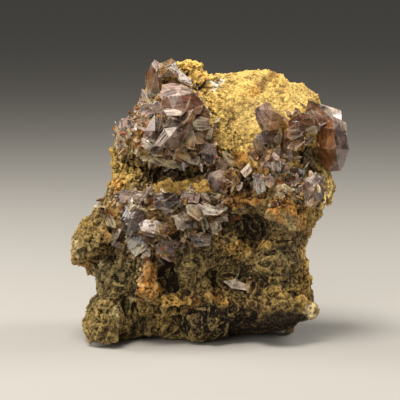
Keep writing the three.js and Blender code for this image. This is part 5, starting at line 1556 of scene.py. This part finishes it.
def chance(tree, given, kind, low, high, seed):
    """A random number or vector for each copy."""
    first, out = {"FLOAT_VECTOR": (0, 0), "FLOAT": (2, 1)}[kind]
    made = node(tree, "FunctionNodeRandomValue", {
        first: low, first + 1: high,
        "Seed": maths(tree, "ADD", given["Seed"], float(seed))}, data_type=kind)
    return made.outputs[out]


def turned(tree, given, spread):
    """Each copy's rotation: out of the surface or along the blade, then leaned and spun."""
    half_turns = maths(tree, "SUBTRACT", 1.0, given["Along Axis"])
    spin = maths(tree, "MULTIPLY", half_turns, math.pi)
    lean = node(tree, "ShaderNodeCombineXYZ", {
        0: given["Lean"], 1: given["Lean"], 2: spin}).outputs[0]
    back = vectors(tree, "MULTIPLY", lean, (-1.0, -1.0, -1.0))
    turn = node(tree, "FunctionNodeEulerToRotation", {
        0: chance(tree, given, "FLOAT_VECTOR", back, lean, 1)}).outputs[0]
    along = grown_along(tree, stored(tree, "axis", "FLOAT_VECTOR"), spread.outputs["Normal"])
    upright = node(tree, "GeometryNodeSwitch", {
        0: given["Along Axis"], 1: spread.outputs["Rotation"], 2: along},
        input_type="ROTATION").outputs[0]
    return node(tree, "FunctionNodeRotateRotation", {0: upright, 1: turn},
                rotation_space="LOCAL").outputs[0]


def scatter_tree():
    tree, given = new_tree(
        "scattered pieces", "GeometryNodeTree",
        {"Geometry": "Geometry", "Shape": "Object", "Map": "String",
         **dict.fromkeys(("Per Square Metre", "Map From", "Map To", "Smallest", "Largest",
                          "Lean", "Sink"), "Float"),
         "Along Axis": "Bool", "Seed": "Int", "Material": "Material"},
        {"Geometry": "Geometry"})
    allowed = ramp(tree, stored(tree, given["Map"]), given["Map From"], given["Map To"])
    spread = node(tree, "GeometryNodeDistributePointsOnFaces", {
        "Mesh": given["Geometry"],
        "Density": maths(tree, "MULTIPLY", allowed, given["Per Square Metre"]),
        "Seed": given["Seed"]}, distribute_method="RANDOM")
    inwards = maths(tree, "MULTIPLY", given["Sink"], -1.0)
    points = node(tree, "GeometryNodeSetPosition", {
        "Geometry": spread.outputs["Points"],
        "Offset": scaled(tree, spread.outputs["Normal"], inwards)}).outputs[0]
    size = chance(tree, given, "FLOAT", given["Smallest"], given["Largest"], 2)
    shape = node(tree, "GeometryNodeObjectInfo", {"Object": given["Shape"]}).outputs["Geometry"]
    copies = node(tree, "GeometryNodeInstanceOnPoints", {
        "Points": points, "Instance": shape, "Rotation": turned(tree, given, spread),
        "Scale": size}).outputs[0]
    toned = node(tree, "GeometryNodeStoreNamedAttribute", {
        "Geometry": copies, "Name": "tone",
        "Value": chance(tree, given, "FLOAT", 0.0, 1.0, 3)},
        data_type="FLOAT", domain="INSTANCE").outputs[0]
    set_material(tree, toned, given["Material"])
    return tree


scatter = scatter_tree()
print("scatter tree made")

# %% Small shapes to scatter, one unit tall
def hull_shape(name, points):
    """A closed convex shape around a few points."""
    mesh = bpy.data.meshes.new(name)
    work = bmesh.new()
    for point in points:
        work.verts.new(point)
    bmesh.ops.convex_hull(work, input=work.verts)
    bmesh.ops.delete(work, geom=[v for v in work.verts if not v.link_faces], context="VERTS")
    bmesh.ops.recalc_face_normals(work, faces=work.faces)
    work.to_mesh(mesh)
    work.free()
    return bpy.data.objects.new(name, mesh)


# Axinite's own form: a flat, sharp-edged wedge like an axe blade.
axe_blade = hull_shape("axe blade", [
    (-0.30, -0.10, -0.3), (0.30, -0.12, -0.3), (0.26, 0.12, -0.3), (-0.28, 0.12, -0.3),
    (-0.34, -0.09, 0.45), (0.36, -0.06, 0.30), (0.30, 0.10, 0.42), (-0.26, 0.11, 0.60),
    (-0.10, 0.0, 0.85), (0.16, 0.01, 0.68)])
slim_blade = hull_shape("slim blade", [
    (-0.16, -0.08, -0.3), (0.16, -0.09, -0.3), (0.14, 0.08, -0.3), (-0.15, 0.09, -0.3),
    (-0.18, -0.06, 0.6), (0.18, -0.05, 0.75), (0.12, 0.06, 0.9), (-0.12, 0.07, 0.8),
    (0.02, 0.0, 1.05)])
block_crystal = hull_shape("block crystal", [
    (-0.36, -0.24, -0.3), (0.34, -0.26, -0.3), (0.36, 0.24, -0.3), (-0.32, 0.26, -0.3),
    (-0.38, -0.22, 0.34), (0.28, -0.28, 0.46), (0.34, 0.20, 0.38), (-0.24, 0.26, 0.52)])
lamella = hull_shape("lamella", [
    (-0.15, -0.05, -0.5), (0.14, -0.05, -0.45), (0.15, 0.05, -0.4), (-0.14, 0.05, -0.48),
    (-0.16, -0.04, 0.3), (0.17, -0.05, 0.22), (0.13, 0.05, 0.2), (-0.12, 0.05, 0.33),
    (0.0, 0.0, 0.5)])
splinter = hull_shape("splinter", [
    (-0.5, -0.06, -0.05), (-0.46, 0.07, 0.0), (0.5, -0.03, -0.04), (0.48, 0.05, 0.03),
    (-0.2, -0.08, 0.07), (0.24, 0.07, 0.08), (0.1, -0.09, -0.02), (-0.1, 0.1, -0.04)])
grain = hull_shape("grain", [
    (0.5, 0.1, 0.0), (-0.42, 0.2, 0.1), (0.1, -0.48, 0.05), (0.0, 0.46, -0.1),
    (0.15, 0.05, 0.5), (-0.2, -0.1, -0.45), (0.35, -0.3, 0.3), (-0.35, -0.3, 0.25)])
print("shapes:", [shape.name for shape in (axe_blade, slim_blade, block_crystal, lamella,
                                           splinter, grain)])

# %% [markdown]
# ## Finish for the small crystals
#
# The small blades are the same mineral, but each is its own shade. A colour ramp turns the random
# number that each copy carries into one of the crystal colours. They are too thin to absorb
# much, so they have no volume, which also keeps the render quick.


# %% Small crystal finish
SMALL_SHADES = ("grey violet", "golden", "clove", "cream", "pale lilac", "golden", "lilac",
                "sage", "rusty", "pink", "cream", "golden")
SMALL_TRANSMISSION = 0.4


def small_gem_finish():
    finish, tree, surface = new_finish("small axinite")
    shade = node(tree, "ShaderNodeValToRGB", {0: painted(tree, "tone")})
    shade.color_ramp.interpolation = "CONSTANT"
    stops = shade.color_ramp.elements
    while len(stops) < len(SMALL_SHADES):
        stops.new(0.5)
    for i, colour in enumerate(SMALL_SHADES):
        stops[i].position = i / len(SMALL_SHADES)
        stops[i].color = GEM[colour]
    skin = node(tree, "ShaderNodeGroup", node_tree=SKIN)
    for socket, value in (("Dust", 0.3), ("Stripes", 0.7), ("Facet", 0.6)):
        skin.inputs[socket].default_value = value
    place = node(tree, "ShaderNodeTexCoord").outputs["Object"]
    tree.links.new(shade.outputs[0], skin.inputs["Color"])
    tree.links.new(scaled(tree, place, 1 / MM), skin.inputs["Lines"])
    tree.links.new(skin.outputs["Color"], surface.inputs["Base Color"])
    tree.links.new(skin.outputs["Roughness"], surface.inputs["Roughness"])
    surface.inputs["Transmission Weight"].default_value = SMALL_TRANSMISSION
    surface.inputs["IOR"].default_value = AXINITE_INDEX
    return finish


small_finish = small_gem_finish()
grain_finish = stone_finish("loose grains", grain_size=0.5 * MM, contrast=1.0, roughness=0.85)
splinter_finish = stone_finish("altered splinters", grain_size=0.4 * MM, contrast=0.8,
                               roughness=0.7)
print("finishes for the scattered pieces made")

# %% [markdown]
# ## Scattering
#
# Chance alone would set small blades in front of the large crystals, and some copies would stick
# out past the solids. Both kinds are taken out again: a copy goes if any corner leaves the box,
# or if a large crystal stands just behind a good part of it. Crystals that are crusts of smaller
# ones are the exception: they carry blades and parallel plates on their own faces.


# %% Taking out copies that are in the way
HIDING_REACH = 4.0 * MM
HIDING_SHARE = 0.2          # a copy may hide a large crystal with this share of its corners


def in_the_way(point):
    """Whether a crystal stands just behind a point, seen from the front."""
    line = (point - Vector(EYE * MM)).normalized()
    hit, normal, _, _ = bare_crystals.ray_cast(point, line, HIDING_REACH)
    return hit is not None and normal.dot(line) < 0


def thinned(thing, corners_each):
    """Takes out the copies that leave the solids' box or stand before a large crystal."""
    points = corners_of(thing.data)
    out = ((points < LOW) | (points > HIGH)).any(axis=1)
    hiding = np.array([in_the_way(Vector(point)) for point in points])
    bad = out.reshape(-1, corners_each).any(axis=1)
    bad |= hiding.reshape(-1, corners_each).mean(axis=1) > HIDING_SHARE
    work = bmesh.new()
    work.from_mesh(thing.data)
    work.verts.ensure_lookup_table()
    doomed = [work.verts[int(i)] for i in np.nonzero(np.repeat(bad, corners_each))[0]]
    bmesh.ops.delete(work, geom=doomed, context="VERTS")
    work.to_mesh(thing.data)
    work.free()
    return int(bad.sum())


print("copies are taken out up to", HIDING_REACH / MM, "mm before a large crystal")

# %% One piece of many copies
MM2_PER_M2 = 1e6


def joined(meshes):
    """One mesh out of several, with the attributes of all, and a map that is 1 everywhere."""
    work = bmesh.new()
    for mesh in meshes:
        work.from_mesh(mesh)
    whole = bpy.data.meshes.new("joined")
    work.to_mesh(whole)
    work.free()
    keep_number(whole, "everywhere", np.ones(len(whole.vertices)))
    return whole


def scattered(name, shape, finish, map_name, per_mm2, map_range, sizes, lean, sink, seed,
              ground=rock, along_axis=False):
    """Copies of a shape on a ground, as one piece. Sizes and sink are in millimetres."""
    thing = new_piece(name, ground.data.copy())
    run_tree(thing, scatter, Along_Axis=along_axis, Shape=shape, Map=map_name,
             Per_Square_Metre=per_mm2 * MM2_PER_M2, Map_From=map_range[0],
             Map_To=map_range[1], Smallest=sizes[0] * MM, Largest=sizes[1] * MM,
             Lean=math.radians(lean), Sink=sink * MM, Seed=seed, Material=finish)
    taken = thinned(thing, len(shape.data.vertices))
    print(name, triangle_count(thing.data), "triangles, copies taken out:", taken)
    return thing


# %% Small crystals in the nests
small_blades = [
    scattered("small_axe_blades", axe_blade, small_finish, "nest", per_mm2=0.26,
              map_range=(0.3, 0.8), sizes=(1.5, 3.2), lean=42, sink=0.2, seed=11),
    scattered("small_slim_blades", slim_blade, small_finish, "nest", per_mm2=0.18,
              map_range=(0.3, 0.8), sizes=(1.5, 3.2), lean=45, sink=0.2, seed=12),
    scattered("small_block_crystals", block_crystal, small_finish, "nest", per_mm2=0.16,
              map_range=(0.3, 0.9), sizes=(0.7, 1.8), lean=40, sink=0.1, seed=13),
]

# %% Plates and blades on the crystals that are crusts
faces_of_crystals = new_piece("faces of crystals",
                              joined([crystals[name].data for name in sorted(LAYERED)]))
parallel_plates = scattered(
    "parallel_growth_plates", lamella, clear_finish, "everywhere", per_mm2=0.35,
    map_range=(0.0, 1.0), sizes=(0.8, 2.4), lean=9, sink=0.01, seed=41,
    ground=faces_of_crystals, along_axis=True)
small_blades.append(scattered(
    "blades_on_crystals", axe_blade, small_finish, "everywhere", per_mm2=0.12,
    map_range=(0.0, 1.0), sizes=(1.2, 2.8), lean=45, sink=0.2, seed=51,
    ground=faces_of_crystals))
bpy.data.objects.remove(faces_of_crystals)

# %% Grains and splinters of the rock
loose_grains = scattered("loose_grains", grain, grain_finish, "hatched", per_mm2=0.7,
                         map_range=(-0.6, 0.6), sizes=(0.35, 0.9), lean=60, sink=0.05, seed=21)
splinters = scattered("altered_splinters", splinter, splinter_finish, "hatched", per_mm2=0.55,
                      map_range=(0.3, 0.9), sizes=(0.9, 2.8), lean=22, sink=0.0, seed=31)

# %% [markdown]
# ## Belonging
#
# Each piece made here stands for a plain solid or sits on one. The rock skin and the fine
# crystals take the place of their solids, which stay behind for weight and touch. All of them
# belong to the one body, and each is either matrix or axinite.

# %% Belonging
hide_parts("matrix_rock")
for name, thing in crystals.items():
    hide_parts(name)
stone_pieces = [rock, loose_grains, splinters]
gem_pieces = [*crystals.values(), *small_blades, parallel_plates]
for thing in [*stone_pieces, *gem_pieces]:
    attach(thing, "root")
print("pieces of rock:", len(stone_pieces), "pieces of crystal:", len(gem_pieces))

# %% [markdown]
# ## Table, light and camera
#
# The specimen stands on a plain pale table. Two lights come from above, a little in front and a
# little to the left: a broad weak one, and a narrower strong one that models the form. The strong
# one has no mirror image, because its white patch on every upward facet would wash the crystals
# out. Two lights from the sides and behind draw the bright rims that make a mineral stand off its
# ground, and a weak one in front opens the shadows. The camera stands half a metre off, a little
# above, with a long lens, so that the specimen fills the frame.

# %% Table
TABLE_HALF = 8.0
table_mesh = bpy.data.meshes.new("table")
table_mesh.from_pydata([(-TABLE_HALF, -TABLE_HALF, 0), (TABLE_HALF, -TABLE_HALF, 0),
                        (TABLE_HALF, TABLE_HALF, 0), (-TABLE_HALF, TABLE_HALF, 0)],
                       [], [(0, 1, 2, 3)])
table = new_piece("table", table_mesh)
table_finish, _, table_surface = new_finish("pale table")
table_surface.inputs["Base Color"].default_value = screen(170, 167, 162)
table_surface.inputs["Roughness"].default_value = 0.7
table_mesh.materials.append(table_finish)
print("table side in m:", 2 * TABLE_HALF)

# %% Lights
LIT_POINT = Vector((0, 0, 0.04))
WARM = (1.0, 0.95, 0.86)
NEUTRAL = (1.0, 0.97, 0.93)
FRONT_TINT = (1.0, 0.96, 0.9)
AIR_TINT = (1.0, 0.97, 0.92, 1)
AIR_STRENGTH = 0.11


def soft_light(name, place, size, watts, colour):
    """A round soft light that looks at the specimen."""
    lamp = bpy.data.lights.new(name, "AREA")
    lamp.shape = "DISK"
    lamp.size = size
    lamp.energy = watts
    lamp.color = colour
    thing = bpy.data.objects.new(name, lamp)
    thing.location = place
    thing.rotation_euler = (LIT_POINT - Vector(place)).to_track_quat("-Z", "Y").to_euler()
    scene.collection.objects.link(thing)
    return thing


soft_light("main light", (-0.08, -0.17, 0.56), size=0.48, watts=0.7, colour=WARM)
key = soft_light("key light", (-0.1, -0.17, 0.56), size=0.24, watts=3.3, colour=WARM)
key.visible_glossy = False
soft_light("left rim light", (-0.38, 0.08, 0.26), size=0.26, watts=1.5, colour=NEUTRAL)
soft_light("right rim light", (0.38, 0.06, 0.28), size=0.26, watts=1.4, colour=NEUTRAL)
soft_light("front fill", (-0.22, -0.48, 0.22), size=0.46, watts=1.4, colour=FRONT_TINT)
world = bpy.data.worlds.new("studio air")
world.use_nodes = True
air = world.node_tree.nodes["Background"]
air.inputs["Color"].default_value = AIR_TINT
air.inputs["Strength"].default_value = AIR_STRENGTH
scene.world = world
scene.view_settings.view_transform = "Standard"

# %% Camera
AIM = np.array([-2.385 + MAP_SHIFT_X, MAP_PLANE_Y, 36.41])  # mm, middle of the picture
PICTURE_PIXELS = 400
MM_PER_PIXEL = 0.265                                        # at the map's plane
SENSOR = 36.0
distance = float(np.linalg.norm(EYE - AIM))
lens = bpy.data.cameras.new("camera")
lens.sensor_width = SENSOR
lens.lens = SENSOR * distance / (PICTURE_PIXELS * MM_PER_PIXEL)
lens.clip_start = 0.01
lens.clip_end = 50
camera = bpy.data.objects.new("camera", lens)
camera.location = Vector(EYE * MM)
camera.rotation_euler = Vector((AIM - EYE)).to_track_quat("-Z", "Y").to_euler()
scene.collection.objects.link(camera)
scene.camera = camera
print("lens in mm:", round(lens.lens, 1))
